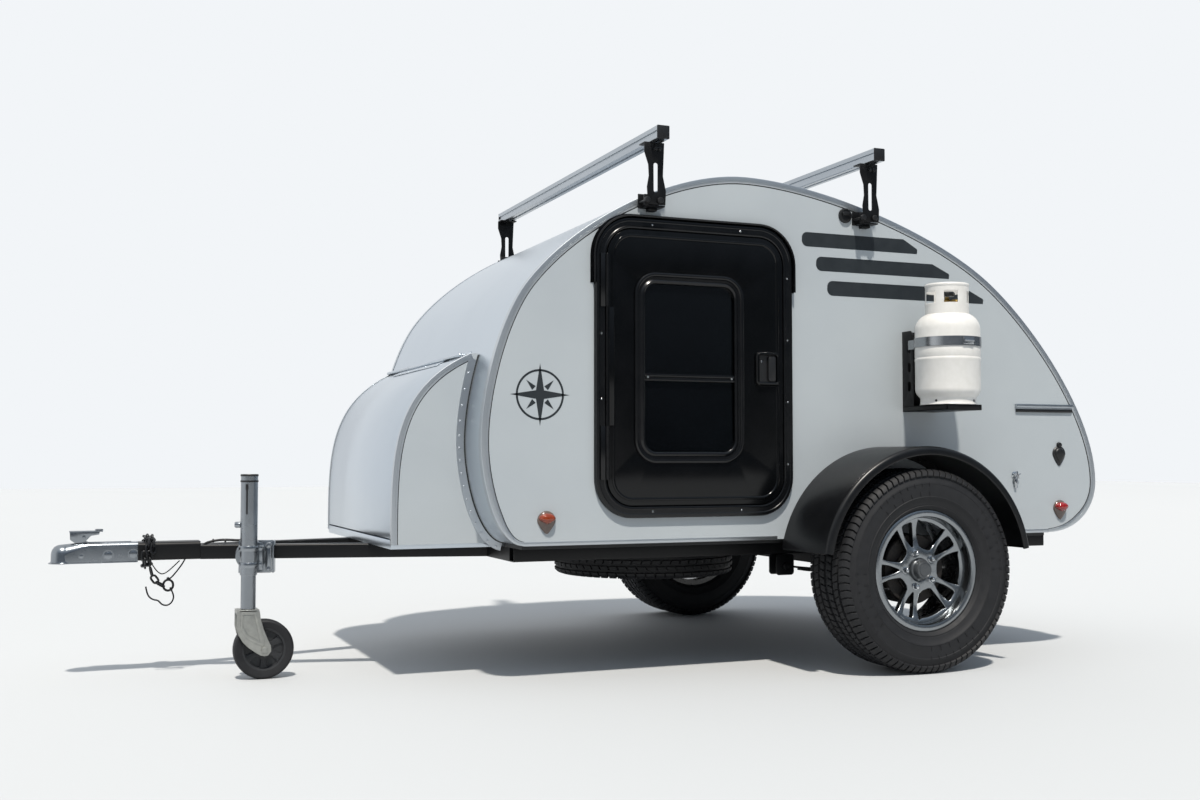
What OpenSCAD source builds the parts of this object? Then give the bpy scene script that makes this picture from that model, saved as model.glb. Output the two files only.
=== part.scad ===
// Teardrop camping trailer with a rear galley hatch, a nose box and a swing-up jockey wheel.
// Millimetres. +X points to the coupling, +Y to the left side, +Z up. Z = 0 is the ground.
// Pieces are laid out from the middle of the axle; from_axle() then centres the whole length on X = 0.

/* [Body] */
// Height of the roof above the ground
body_top = 1737; // [1650:1:2080]
// Height of the bottom edge of the side walls above the ground
floor_z = 460; // [455:1:480]
// Front of the body ahead of the axle
body_front = 1535; // [1450:1:1600]
// Back of the body behind the axle
body_back = 995; // [900:1:1200]
// Width over the two side walls
body_w = 1490; // [1300:1:1560]
// Thickness of the side walls
wall_t = 25; // [12:1:30]
// Thickness of the insulated roof, front and hatch
shell_t = 25; // [15:1:35]
// Thickness of the floor
floor_t = 40; // [20:1:60]
// Thickness of the aluminium edge trim
trim_t = 2; // [1:0.5:4]
// Width of the edge trim on the side of the body
trim_w = 22; // [15:1:35]

/* [Doors] */
// Width of a door frame
door_frame_w = 758; // [650:1:820]
// Height of a door frame
door_frame_h = 1020; // [800:1:1060]
// Corner radius of a door frame
door_frame_r = 135; // [110:1:180]
// Middle of the door ahead of the axle
door_x = 765; // [700:1:790]
// Middle of the door above the ground
door_z = 1053; // [1020:1:1090]
// Width of the frame that shows round the door
door_rim = 38; // [30:1:50]
// Gap round a door, the hatch and the box lid
panel_gap = 5; // [5:0.5:8]
// Thickness of a door
door_t = 32; // [25:1:40]
// Width of the door window over its frame
window_w = 418; // [300:1:450]
// Height of the door window over its frame
window_h = 650; // [450:1:700]
// Thickness of the window glass
glass_t = 5; // [3:1:8]

/* [Wheels] */
// Diameter of a tyre
tyre_d = 710; // [650:1:740]
// Width of a tyre
tyre_w = 235; // [185:1:250]
// Diameter over the rim's lips
rim_d = 421; // [380:1:440]
// Gap between a side wall and its tyre
wheel_clear = 46.5; // [35:0.5:80]
// Diameter of the axle's stubs
stub_d = 34; // [28:1:40]
// Radial running clearance of a hub on its stub
stub_clear = 0.1; // [0.02:0.01:0.1]
// Width of the spare tyre
spare_w = 148; // [125:1:150]

/* [Chassis] */
// Size of the square chassis tube
tube = 50; // [40:1:60]
// Wall of the chassis tube
tube_wall = 3; // [2:0.5:5]
// Front tip of the coupling ahead of the axle
coupler_tip = 2823; // [2700:1:2950]
// Distance between the middles of the chassis rails
rail_spacing = 1150; // [1050:1:1180]
// Diameter of the towing ball that the coupling takes
ball_d = 50; // [48:0.1:51]

/* [Nose box] */
// Front of the nose box ahead of the axle
box_front = 1782; // [1700:1:1850]
// Width of the nose box
box_w = 1112; // [900:1:1200]
// Thickness of the nose box walls and lid
box_t = 15; // [8:1:20]

/* [Roof rack] */
// Roof bar beyond the leg that carries it
bar_over = 62; // [40:1:100]
// Size of the square roof bar
bar = 45; // [30:1:60]
// Top of the roof bars above the roof
bar_rise = 123; // [100:1:400]

/* [Jockey wheel] */
// Jockey tube ahead of the axle
jockey_x = 2195; // [2150:1:2240]
// Outer diameter of the outer tube
jockey_tube_d = 57; // [50:1:65]
// Wall of the outer tube
jockey_tube_wall = 3; // [2:0.5:3]
// Diameter of the jockey wheel
jockey_wheel_d = 200; // [180:1:215]
// Width of the jockey wheel
jockey_wheel_w = 48; // [40:1:60]

/* [Gas bottle] */
// Diameter of the gas bottle
bottle_d = 240; // [200:1:250]
// Height of the bottle's foot ring above the ground
bottle_z = 936; // [900:1:1000]

/* [Hidden] */
$fn = 48;

// The coupling's tip and the tail lamps are the two ends of the trailer, and X = 0 is midway.
lamp_out = 14;
axle_x = (body_back + lamp_out - coupler_tip) / 2;
module from_axle() translate([axle_x, 0, 0]) children();
// A drawing in X and Z, pulled out across the trailer from y0 to y1
module slab(y0, y1) translate([0, y1, 0]) rotate([90, 0, 0]) linear_extrude(y1 - y0) children();
// A piece and its twin on the right side
module both_sides() { children(); mirror([0, 1, 0]) children(); }

// Outline of a rectangle with round corners, centred on the origin
corner_steps = 8;
function round_rect(w, h, r) = [
    for (c = [[1, 1, 0], [-1, 1, 90], [-1, -1, 180], [1, -1, 270]])
    for (k = [0 : corner_steps])
    let (a = c[2] + 90 * k / corner_steps)
    [c[0] * (w / 2 - r) + r * cos(a), c[1] * (h / 2 - r) + r * sin(a)]];

// Teardrop outline: six smooth spans that start under the nose and run forward, over the roof and
// round the tail. Each knot is [x, z, heading, pull before it, pull after it].
knots = [
    [body_front - 146, floor_z, 0, 0, 96],
    [body_front, floor_z + 340, 90, 126, 157],
    [body_front - 159, body_top - 408, 128, 160, 279],
    [body_front - 968, body_top, 180, 276, 294],
    [543 - body_back, body_top - 297, 213, 311, 259],
    [-body_back, floor_z + 196, 270, 272, 106],
    [235 - body_back, floor_z, 360, 142, 0]];
function heading(a) = [cos(a), sin(a)];
function curve(p, q, r, s, t) =
    pow(1 - t, 3) * p + 3 * t * pow(1 - t, 2) * q + 3 * t * t * (1 - t) * r + t * t * t * s;
function slope(p, q, r, s, t) =
    pow(1 - t, 2) * (q - p) + 2 * t * (1 - t) * (r - q) + t * t * (s - r);
function knot(i) = [knots[i][0], knots[i][1]];
function after(i) = knot(i) + knots[i][4] * heading(knots[i][2]);
function before(i) = knot(i) - knots[i][3] * heading(knots[i][2]);
function span(u) = min(floor(u), 5);
function rim_point(u) = let (i = span(u)) curve(knot(i), after(i), before(i + 1), knot(i + 1), u - i);
function rim_slope(u) = let (i = span(u)) slope(knot(i), after(i), before(i + 1), knot(i + 1), u - i);
function inward(d) = [-d[1], d[0]] / norm(d);
// The point at u on the outline, moved in by an inset
function rim(u, inset) = rim_point(u) + inset * inward(rim_slope(u));
rim_step = 0.1;
// Points on the outline: the two ends, and every full step between them
function rim_path(inset, from, to) = concat(
    [rim(from, inset)],
    [for (k = [floor(from / rim_step + 0.001) + 1 : ceil(to / rim_step - 0.001) - 1])
        rim(k * rim_step, inset)],
    [rim(to, inset)]);
function backwards(list) = [for (k = [len(list) - 1 : -1 : 0]) list[k]];
// A strip of the outline between two insets
module rim_strip(outer, inner, from, to)
    polygon(concat(rim_path(outer, from, to), backwards(rim_path(inner, from, to))));
side_y = body_w / 2;
inside_y = side_y - wall_t;

// Hinge line of the hatch, just behind the rear roof bar
hatch_u = 3.585;
hatch_end_u = 5.42;
hinge_r = 7;
hinge_lift = 9;
hinge_leaf_t = 3;
hinge_leaf = 40;
knuckle_gap = 0.5;
hatch_hinge = rim(hatch_u, -hinge_lift);
hatch_gap_u = panel_gap / norm(rim_slope(hatch_u)) / 6;
hatch_y = inside_y - panel_gap - 3;

// Chassis levels
frame_top = floor_z - 15;
frame_bottom = frame_top - tube;
axle_z = tyre_d / 2;
// Distance between the middles of the two tyres
track = body_w + tyre_w + 2 * wheel_clear;
leg_angle = 14.4;
leg_tip_x = 2335;
leg_tip_y = 54;
rail_y = rail_spacing / 2;
rail_back = -862;
rail_front = 1375;

// Jockey wheel levels
jockey_y = 225;
jockey_pivot_z = 412;
jockey_top = 684;
jockey_low = 350;
jockey_trail = 52;
jockey_fit = 0.5;

// ---------------------------------------------------------------- chassis
// One square tube of the frame along X, from the middle of its end face
module beam(length, size = tube) translate([0, -size / 2, 0]) difference() {
    cube([length, size, tube]);
    translate([-1, tube_wall, tube_wall])
        cube([length + 2, size - 2 * tube_wall, tube - 2 * tube_wall]);
}

// Line of a drawbar leg: its tip lies beside the other leg's, and it spreads to the chassis rail
leg_len = (rail_y - tube / 2 - leg_tip_y + tube / 2) / sin(leg_angle);
module leg_block()
    translate([leg_tip_x, leg_tip_y, frame_bottom]) rotate([0, 0, 180 - leg_angle])
        translate([-tube, 0, 0]) cube([leg_len + 300, tube, tube]);

module leg_left() difference() {
    leg_block();
    translate([leg_tip_x, leg_tip_y, frame_bottom]) rotate([0, 0, 180 - leg_angle])
        translate([-tube - 1, tube_wall, tube_wall])
            cube([leg_len + 400, tube - 2 * tube_wall, tube - 2 * tube_wall]);
    translate([-1000, rail_y - tube / 2, 0]) cube([4000, 1000, 1000]);
    translate([leg_tip_x, -500, 0]) cube([1000, 1000, 1000]);
    translate([leg_tip_x - 500, -999.8, 0]) cube([1000, 1000, 1000]);
}

module drawbar_legs() color("#1d1e20") from_axle() both_sides() leg_left();

module chassis_rails() color("#1d1e20") from_axle() both_sides()
    translate([rail_back, rail_y, frame_bottom]) beam(rail_front - rail_back);

// Where the inner face of a leg meets the rail; the middle crossmember stays clear of it
leg_end_x = leg_tip_x - (rail_y - tube / 2 - leg_tip_y + tube / cos(leg_angle)) / tan(leg_angle);
cross_x = [rail_back, -330, leg_end_x - tube - 12, 1010, rail_front - tube];
module crossmembers() color("#1d1e20") from_axle() difference() {
    for (x = cross_x) translate([x, tube / 2 - rail_y, frame_bottom])
        cube([tube, 2 * rail_y - tube, tube]);
    for (x = cross_x) translate([x + tube_wall, -rail_y, frame_bottom + tube_wall])
        cube([tube - 2 * tube_wall, 2 * rail_y, tube - 2 * tube_wall]);
    both_sides() leg_block();
}

nose_x = 2335;
nose_len = 205;
nose_w = 98;
nose_h = 62;
module drawbar_nose() color("#1d1e20") from_axle() translate([nose_x, 0, frame_bottom])
    rotate([90, 0, 90]) linear_extrude(nose_len) difference() {
        translate([0, nose_h / 2]) polygon(round_rect(nose_w, nose_h, 12));
        translate([0, nose_h / 2]) polygon(round_rect(nose_w - 12, nose_h - 12, 6));
    }

// ---------------------------------------------------------------- coupling
coupler_back = nose_x + nose_len;
coupler_w = 78;
coupler_z = frame_bottom - 5;
coupler_h = 68;
socket_x = coupler_tip - 47;
socket_r = ball_d / 2 + 0.6;
socket_depth = 26;
module coupler_body() color("#a9adb0") from_axle() difference() {
    union() {
        translate([coupler_back, 0, coupler_z]) rotate([90, 0, 90])
            linear_extrude(socket_x - coupler_back) translate([0, coupler_h / 2])
            polygon(round_rect(coupler_w, coupler_h, 10));
        translate([socket_x, 0, coupler_z]) cylinder(h = 36, r = 39, $fn = 64);
        translate([socket_x, 0, coupler_z]) cylinder(h = 4, r = 47, $fn = 64);
        translate([socket_x, 0, coupler_z + 25]) sphere(r = 38, $fn = 64);
    }
    translate([coupler_back - 1, -coupler_w / 2 + 5, coupler_z - 1])
        cube([socket_x - coupler_back - 55, coupler_w - 10, coupler_h - 4]);
    translate([socket_x, 0, coupler_z - 1]) cylinder(h = socket_depth + 1, r = socket_r, $fn = 64);
    translate([socket_x, 0, coupler_z + socket_depth]) sphere(r = socket_r, $fn = 64);
    translate([socket_x - 100, -100, coupler_z - 60]) cube([200, 200, 60]);
}

lever_x = 2652;
lever_len = 107;
module coupler_lever() color("#b4b7ba") from_axle() translate([lever_x, 0, 0]) {
    top = coupler_z + coupler_h;
    translate([0, -22, top + 37]) cube([lever_len, 44, 3.5]);
    for (y = [-22, 18.5]) translate([42, y, top + 0.3]) cube([60, 3.5, 37]);
    translate([48, -22, top + 0.3]) cube([40, 44, 4]);
}

// Safety chain: two turns round the drawbar nose, then a few links and a bow shackle below
module link(length, w, wire) {
    straight = length - w;
    for (s = [-1, 1]) translate([0, s * (w - wire) / 2, 0]) rotate([0, 90, 0])
        cylinder(h = straight, d = wire, center = true, $fn = 16);
    for (s = [0, 180]) rotate([0, 0, s]) translate([straight / 2, 0, 0]) rotate([0, 0, -90])
        rotate_extrude(angle = 180, $fn = 32) translate([(w - wire) / 2, 0]) circle(d = wire, $fn = 16);
}
wrap_x = 2503;
wrap_t = 11;
hang_len = 32;
hang_w = 24;
hang_wire = 6;
hang_turn = 120;
hang_gap = 0.3;
hang_pitch = hang_len - 2 * hang_wire - 0.4;
hang_end = (hang_len - hang_wire) / 2;
hang_top = hang_end * sin(hang_turn) + hang_wire / 2;
module safety_chain() color("#1b1b1c") from_axle() {
    for (x = [wrap_x, wrap_x + 16]) translate([x, 0, frame_bottom + nose_h / 2])
        rotate([90, 0, 90]) linear_extrude(wrap_t, center = true) difference() {
            polygon(round_rect(nose_w + 2 + 2 * wrap_t, nose_h + 2 + 2 * wrap_t, 18));
            polygon(round_rect(nose_w + 0.6, nose_h + 0.6, 12.3));
        }
    for (k = [0 : 2])
        translate([wrap_x + hang_end * cos(hang_turn), 30, frame_bottom - 1 - wrap_t - hang_gap - hang_top]
            + k * hang_pitch * [cos(hang_turn), 0, -sin(hang_turn)])
        rotate([0, hang_turn, 0]) rotate([k * 90, 0, 0]) link(hang_len, hang_w, hang_wire);
}

// Parked trailer lead: a short arc of cable that ends in a rubber boot on the left leg
lead_d = 9;
lead_arc_r = 170;
lead_arc = 46;
lead_x = 2253;
boot_len = 42;
boot_r = 13;
boot_z = boot_r + 0.2;
lead_half = lead_arc_r * sin(lead_arc / 2);
module plug_lead() color("#26272a") from_axle()
    translate([lead_x, leg_face_y(lead_x) - tube / 2 / cos(leg_angle), frame_top])
    rotate([0, 0, -leg_angle]) {
        translate([0, 0, boot_z - lead_arc_r * cos(lead_arc / 2)]) rotate([90, 0, 0])
            rotate([0, 0, 90 - lead_arc / 2]) rotate_extrude(angle = lead_arc, $fn = 96)
            translate([lead_arc_r, 0]) circle(d = lead_d, $fn = 16);
        translate([lead_half - 6, 0, 0]) cylinder(h = boot_z + 5, d = 16, $fn = 32);
        translate([-lead_half + 6, 0, boot_z]) rotate([0, -90, 0])
            cylinder(h = boot_len, r1 = 7, r2 = boot_r, $fn = 32);
    }

// ---------------------------------------------------------------- running gear
spring_eye_x = 330;
spring_w = 45;
spring_t = 22;
axle_tube = 50;
axle_beam_half = track / 2 - 90;
hub_face_y = track / 2 + 15;
spring_drop = axle_z - axle_tube / 2 - 0.3;
module axle_beam() color("#232427") from_axle() translate([0, 0, axle_z]) {
    translate([-axle_tube / 2, -axle_beam_half, -axle_tube / 2])
        cube([axle_tube, 2 * axle_beam_half, axle_tube]);
    both_sides() {
        translate([0, axle_beam_half - 1, 0]) rotate([-90, 0, 0])
            cylinder(h = hub_face_y - 5 - axle_beam_half, d = stub_d, $fn = 48);
        translate([0, axle_beam_half, 0]) rotate([-90, 0, 0]) cylinder(h = 5, d = 240, $fn = 64);
    }
}

// Leaf pack under the axle: a flat arc between the two hangers
arc_rise = 26;
spring_r = (pow(spring_eye_x, 2) + pow(arc_rise, 2)) / (2 * arc_rise);
function spring_arc(r, half, n) = [for (k = [0 : n]) let (a = 270 - half + 2 * half * k / n)
    [r * cos(a), r * sin(a) + spring_r]];
spring_half = asin(spring_eye_x / spring_r);
module spring_leaf(outer, inner, half) translate([0, spring_drop - spring_t])
    polygon(concat(spring_arc(outer, half, 16), backwards(spring_arc(inner, half, 16))));
module leaf_springs() color("#2a2b2d") from_axle() both_sides()
    slab(rail_y - spring_w / 2, rail_y + spring_w / 2) {
        spring_leaf(spring_r, spring_r - 8, spring_half);
        spring_leaf(spring_r - 7, spring_r - 15, spring_half * 0.75);
        spring_leaf(spring_r - 14, spring_r - spring_t, spring_half * 0.5);
    }

hanger_t = 5;
module spring_hangers() color("#1d1e20") from_axle() both_sides() {
    for (x = [-spring_eye_x, spring_eye_x])
        for (y = [rail_y - spring_w / 2 - hanger_t, rail_y + spring_w / 2])
            translate([x - 38, y, spring_drop - spring_t + arc_rise - 14])
                cube([76, hanger_t, frame_bottom - spring_drop + spring_t - arc_rise + 14]);
    for (x = [-spring_eye_x, spring_eye_x])
        translate([x, rail_y + spring_w / 2 + 1, spring_drop - spring_t + arc_rise + 15])
            rotate([90, 0, 0]) cylinder(h = spring_w + 2, d = 12, $fn = 24);
    translate([-45, rail_y - 35, spring_drop - spring_t - 8]) cube([90, 70, 8]);
    for (y = [-32, 26]) translate([-35, rail_y + y, spring_drop - spring_t - 8])
        cube([6, 6, axle_tube + spring_t + 10]);
    for (y = [-32, 26]) translate([29, rail_y + y, spring_drop - spring_t - 8])
        cube([6, 6, axle_tube + spring_t + 10]);
}

// Fender: part of a ring with an inner flange on the wall and a turned-down outer lip
fender_r = 432;
fender_t = 4;
fender_out = side_y + 290;
fender_lip = 30;
fender_ends = 9.5;
module fenders() color("#16171a") from_axle() both_sides()
    translate([0, 0, axle_z]) rotate([90, 0, 0]) rotate([0, 0, fender_ends])
    rotate_extrude(angle = 180 - 2 * fender_ends, $fn = 96) polygon([
        [fender_r, -side_y], [fender_r, -fender_out + 14], [fender_r - 14, -fender_out],
        [fender_r - fender_lip, -fender_out], [fender_r - fender_lip, -fender_out + fender_t],
        [fender_r - 15, -fender_out + fender_t], [fender_r - fender_t, -fender_out + 15],
        [fender_r - fender_t, -side_y - fender_t], [fender_r - fender_lip, -side_y - fender_t],
        [fender_r - fender_lip, -side_y]]);

// ---------------------------------------------------------------- wheels
rim_r = rim_d / 2;
bead_r = rim_r - 16;
tyre_r = tyre_d / 2;
// Half of a tyre's section as [radius, distance from the middle], in shares of height and width
module tyre_section(w) {
    h = tyre_r - bead_r;
    half = [
        [tyre_r, 0], [tyre_r - 1, w * 0.30], [tyre_r - 9, w * 0.40], [tyre_r - 0.15 * h, w * 0.45],
        [tyre_r - 0.35 * h, w * 0.495], [tyre_r - 0.5 * h, w * 0.5], [tyre_r - 0.7 * h, w * 0.475],
        [rim_r + 8, w * 0.43], [rim_r + 1.5, w * 0.40], [rim_r + 1, w * 0.39], [bead_r, w * 0.39]];
    polygon(concat(half, [for (p = backwards(half)) [p[0], -p[1]]]));
}
module tyre(w) rotate([90, 0, 0]) rotate_extrude($fn = 96) tyre_section(w);

barrel_y = tyre_w * 0.39;
dish_y = 52;
disc_t = 22;
pocket_from = 82;
pocket_to = 168;
lug_circle = 120.65;
centre_bore = 79;
// One opening between two spokes, a wedge with its sides parallel to the spokes
module pocket(a, half_in, half_out) rotate([0, 0, a])
    polygon([
        [pocket_from, -half_in], [pocket_to - 6, -half_out], [pocket_to, 0],
        [pocket_to - 6, half_out], [pocket_from, half_in]]);
// Rim in its own frame, with its outside towards +Z
module rim_shape(barrel) {
    rotate_extrude($fn = 96) polygon([
        [bead_r - 0.3, barrel + 0.5], [rim_r, barrel + 0.5], [rim_r, barrel + 7],
        [bead_r - 8, barrel + 7], [bead_r - 10, barrel], [bead_r - 14, 10],
        [bead_r - 14, -barrel + 5], [bead_r - 6, -barrel - 7], [rim_r, -barrel - 7],
        [rim_r, -barrel - 0.5], [bead_r - 0.3, -barrel - 0.5], [bead_r - 0.3, -barrel + 8],
        [bead_r - 6, -barrel + 16], [bead_r - 6, barrel - 16], [bead_r - 0.3, barrel - 8]]);
    translate([0, 0, dish_y - disc_t]) difference() {
        cylinder(h = disc_t, r = bead_r - 9, $fn = 96);
        for (k = [0 : 4]) {
            translate([0, 0, -1]) linear_extrude(disc_t + 2) pocket(72 * k + 36, 20, 46);
            translate([0, 0, -1]) linear_extrude(disc_t + 2) pocket(72 * k, 6, 20);
            rotate([0, 0, 72 * k]) translate([lug_circle / 2, 0, -1])
                cylinder(h = disc_t + 2, r = 7.5, $fn = 24);
        }
        translate([0, 0, -1]) cylinder(h = disc_t + 2, d = centre_bore);
    }
}

module wheel_frame(side) from_axle() translate([0, side * track / 2, axle_z])
    rotate([side > 0 ? -90 : 90, 0, 0]) children();
module tyre_left() color("#27282a") wheel_frame(1) rotate([90, 0, 0]) tyre(tyre_w);
module tyre_right() color("#27282a") wheel_frame(-1) rotate([90, 0, 0]) tyre(tyre_w);
module rim_left() color("#8d9194") wheel_frame(1) rim_shape(barrel_y);
module rim_right() color("#8d9194") wheel_frame(-1) rim_shape(barrel_y);

// Hub and drum: the drum fits over the backing plate, and the cap closes the stub's end
hub_flange_z = dish_y - disc_t;
drum_r = 124;
module hub_shape() difference() {
    union() {
        translate([0, 0, -79]) cylinder(h = hub_flange_z + 79, r = 38);
        translate([0, 0, hub_flange_z - 12]) cylinder(h = 12, r = 78, $fn = 64);
        translate([0, 0, -78]) difference() {
            cylinder(h = 78 + hub_flange_z - 12, r = drum_r, $fn = 64);
            translate([0, 0, -1]) cylinder(h = 72 + hub_flange_z - 12, r = drum_r - 8, $fn = 64);
        }
        translate([0, 0, hub_flange_z]) cylinder(h = disc_t + 28, r = 31);
        translate([0, 0, hub_flange_z + disc_t + 28]) cylinder(h = 12, r = 24);
        for (k = [0 : 4]) rotate([0, 0, 72 * k]) translate([lug_circle / 2, 0, hub_flange_z - 1])
            cylinder(h = disc_t + 15, r = 6.5, $fn = 6);
    }
    translate([0, 0, -90]) cylinder(h = hub_face_y - track / 2 + 90, d = stub_d + 2 * stub_clear);
}
module hub_left() color("#3a3b3d") wheel_frame(1) hub_shape();
module hub_right() color("#3a3b3d") wheel_frame(-1) hub_shape();

// Spare wheel, flat under the floor ahead of the axle
spare_x = 630;
spare_z = frame_top - 2 - spare_w / 2;
spare_barrel = spare_w * 0.39;
module spare_tyre() color("#1f2022") from_axle() translate([spare_x, 0, spare_z])
    rotate([90, 0, 0]) tyre(spare_w);
module spare_rim() color("#55585b") from_axle() translate([spare_x, 0, spare_z])
    mirror([0, 0, 1]) difference() {
        union() {
            rotate_extrude($fn = 96) polygon([
                [bead_r - 0.3, spare_barrel + 0.5], [rim_r, spare_barrel + 0.5],
                [rim_r, spare_barrel + 6], [bead_r - 8, spare_barrel + 6], [bead_r - 14, 10],
                [bead_r - 14, -spare_barrel], [bead_r - 8, -spare_barrel - 6],
                [rim_r, -spare_barrel - 6], [rim_r, -spare_barrel - 0.5],
                [bead_r - 0.3, -spare_barrel - 0.5]]);
            cylinder(h = 6, r = bead_r - 10, $fn = 96);
        }
        translate([0, 0, -1]) cylinder(h = 8, d = centre_bore);
        for (k = [0 : 4]) rotate([0, 0, 72 * k]) {
            translate([lug_circle / 2, 0, -1]) cylinder(h = 8, r = 7.5, $fn = 24);
            rotate([0, 0, 36]) translate([130, 0, -1]) cylinder(h = 8, r = 22, $fn = 32);
        }
    }
carrier_w = 60;
module spare_carrier() color("#1d1e20") from_axle() difference() {
    union() {
        translate([spare_x - carrier_w / 2, -80, spare_z - 12]) cube([carrier_w, 160, 6]);
        translate([spare_x, 0, spare_z - 20]) cylinder(h = frame_top - spare_z + 20, d = 16);
        translate([spare_x, 0, spare_z - 24]) cylinder(h = 12, d = 30, $fn = 6);
    }
    translate([spare_x - 1000, -1000, frame_top]) cube([2000, 2000, 100]);
}

// ---------------------------------------------------------------- body shell
module floor_panel() color("#5c4c3a") from_axle()
    translate([knots[6][0], -inside_y, frame_top])
        cube([knots[0][0] - knots[6][0], 2 * inside_y, floor_t]);

door_opening_in = 20;
module side_wall() difference() {
    slab(inside_y, side_y) polygon(rim_path(0, 0, 6));
    translate([door_x, side_y + 1, door_z]) rotate([90, 0, 0]) linear_extrude(wall_t + 2)
        polygon(round_rect(door_frame_w - 2 * door_opening_in, door_frame_h - 2 * door_opening_in,
            door_frame_r - door_opening_in));
}
module side_wall_left() color("#d3d7da") from_axle() side_wall();
module side_wall_right() color("#d3d7da") from_axle() mirror([0, 1, 0]) side_wall();

module roof_shell() color("#b9bfc4") from_axle() {
    slab(-inside_y, inside_y) rim_strip(0, shell_t, 0, hatch_u - hatch_gap_u);
    at_hatch_hinge() hinge_half(-1, [[-hatch_y, -480], [-115, 115], [480, hatch_y]]);
}
module rear_valance() color("#b9bfc4") from_axle()
    slab(-inside_y, inside_y) rim_strip(0, shell_t, hatch_end_u + 0.03, 6);

// Hinge of the hatch: a leaf on the skin and knuckles on the hinge line, in the skin's own slope
hatch_slope = rim_slope(hatch_u);
module at_hatch_hinge() translate([hatch_hinge[0], 0, hatch_hinge[1]])
    rotate([0, 180 - atan2(hatch_slope[1], hatch_slope[0]), 0]) mirror([1, 0, 0]) children();
module hinge_half(side, knuckles) {
    for (k = knuckles) {
        translate([0, k[0], 0]) rotate([-90, 0, 0]) cylinder(h = k[1] - k[0], r = hinge_r, $fn = 32);
        translate([side > 0 ? 0 : -hinge_leaf, k[0], -hinge_lift])
            cube([hinge_leaf, k[1] - k[0], hinge_leaf_t + 2.2]);
    }
}

module body_trim() {
    slab(side_y, side_y + trim_t) rim_strip(-trim_t, trim_w, 0, 6);
    slab(inside_y, side_y + trim_t) rim_strip(-trim_t, 0, 0, 6);
}
// Trim on the edges of the nose box: a strip on the side and a strip over the edge
module box_trim() {
    slab(box_y, box_y + trim_t) polygon(concat(
        box_curve(-trim_t, 0, 1), backwards(box_curve(18, 0, 1))));
    slab(box_y - box_t, box_y + trim_t) polygon(concat(
        box_curve(-trim_t, 0, 1), backwards(box_curve(0, 0, 1))));
}
module edge_trims() color("#8f959a") from_axle() both_sides() {
    body_trim();
    box_trim();
}

// ---------------------------------------------------------------- inside
galley_x = 0;
counter_z = 915;
counter_t = 18;
lower_x = -500;
ply_t = 15;
rim_clear = shell_t + 10;
// The room inside the skin, as a drawing, ahead of and behind two lines
module room(back, front, low, high) intersection() {
    polygon(concat(rim_path(shell_t, 0, hatch_u - hatch_gap_u),
        rim_path(rim_clear, hatch_u, hatch_end_u), rim_path(rim_clear, hatch_end_u + 0.05, 6)));
    translate([back, low]) square([front - back, high - low]);
}
module bulkhead() color("#c8b28c") from_axle() slab(-inside_y, inside_y)
    room(galley_x, galley_x + ply_t, counter_z, body_top);
module galley_counter() color("#c8b28c") from_axle() {
    slab(-inside_y, inside_y) room(-body_back, galley_x + ply_t, counter_z - counter_t, counter_z);
    slab(-inside_y, inside_y)
        room(lower_x, lower_x + ply_t, floor_z + floor_t - 15, counter_z - counter_t);
    slab(-inside_y, inside_y) room(-360, galley_x, 1240, 1240 + ply_t);
    for (y = [-250, 250]) slab(y - ply_t / 2, y + ply_t / 2)
        room(-body_back, lower_x, floor_z + floor_t - 15, counter_z - counter_t);
}

// ---------------------------------------------------------------- nose box
box_y = box_w / 2;
box_low = [box_front, floor_z];
box_top_u = 1.54;
box_top = rim_point(box_top_u) + [29.4, -1.2];
box_steps = 12;
function box_point(t) = curve(box_low, box_low + [0, 300], box_top - 300 * heading(155), box_top, t);
function box_slope(t) = slope(box_low, box_low + [0, 300], box_top - 300 * heading(155), box_top, t);
function box_rim(t, inset) = box_point(t) + inset * inward(box_slope(t));
function box_curve(inset, from, to) =
    [for (k = [0 : box_steps]) box_rim(from + (to - from) * k / box_steps, inset)];
lid_from = 0.05;
lid_to = 0.965;
module nose_box() color("#cfd4d7") from_axle() {
    both_sides() slab(box_y - box_t, box_y)
        polygon(concat(box_curve(0, 0, 1), backwards(rim_path(0, 0, box_top_u))));
    slab(-box_y + box_t, box_y - box_t) {
        polygon(concat([box_low + [0, -15], box_low, box_low + [0, 15]],
            backwards([for (p = rim_path(0, 0, 0.3)) if (p[1] < floor_z + 15) p]),
            [[knots[0][0], frame_top]]));
        polygon(concat([box_rim(lid_to + 0.01, 0), box_top],
            backwards(rim_path(-0.3, box_top_u - 0.08, box_top_u)), [box_rim(lid_to + 0.01, box_t)]));
    }
    at_lid_hinge() hinge_half(-1, [[-lid_y, -330], [330, lid_y]]);
}

lid_y = box_y - box_t - panel_gap;
lid_hinge = box_rim((lid_to + 0.01 + lid_to) / 2, -hinge_lift);
lid_slope = box_slope(lid_to);
module at_lid_hinge() translate([lid_hinge[0], 0, lid_hinge[1]])
    rotate([0, 180 - atan2(lid_slope[1], lid_slope[0]), 0]) children();
module box_lid() color("#b9bfc4") from_axle() {
    slab(-lid_y, lid_y)
        polygon(concat(box_curve(0, lid_from, lid_to - 0.008),
            backwards(box_curve(box_t, lid_from, lid_to - 0.008))));
    at_lid_hinge() hinge_half(1, [[-330 + knuckle_gap, 330 - knuckle_gap]]);
}

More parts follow.
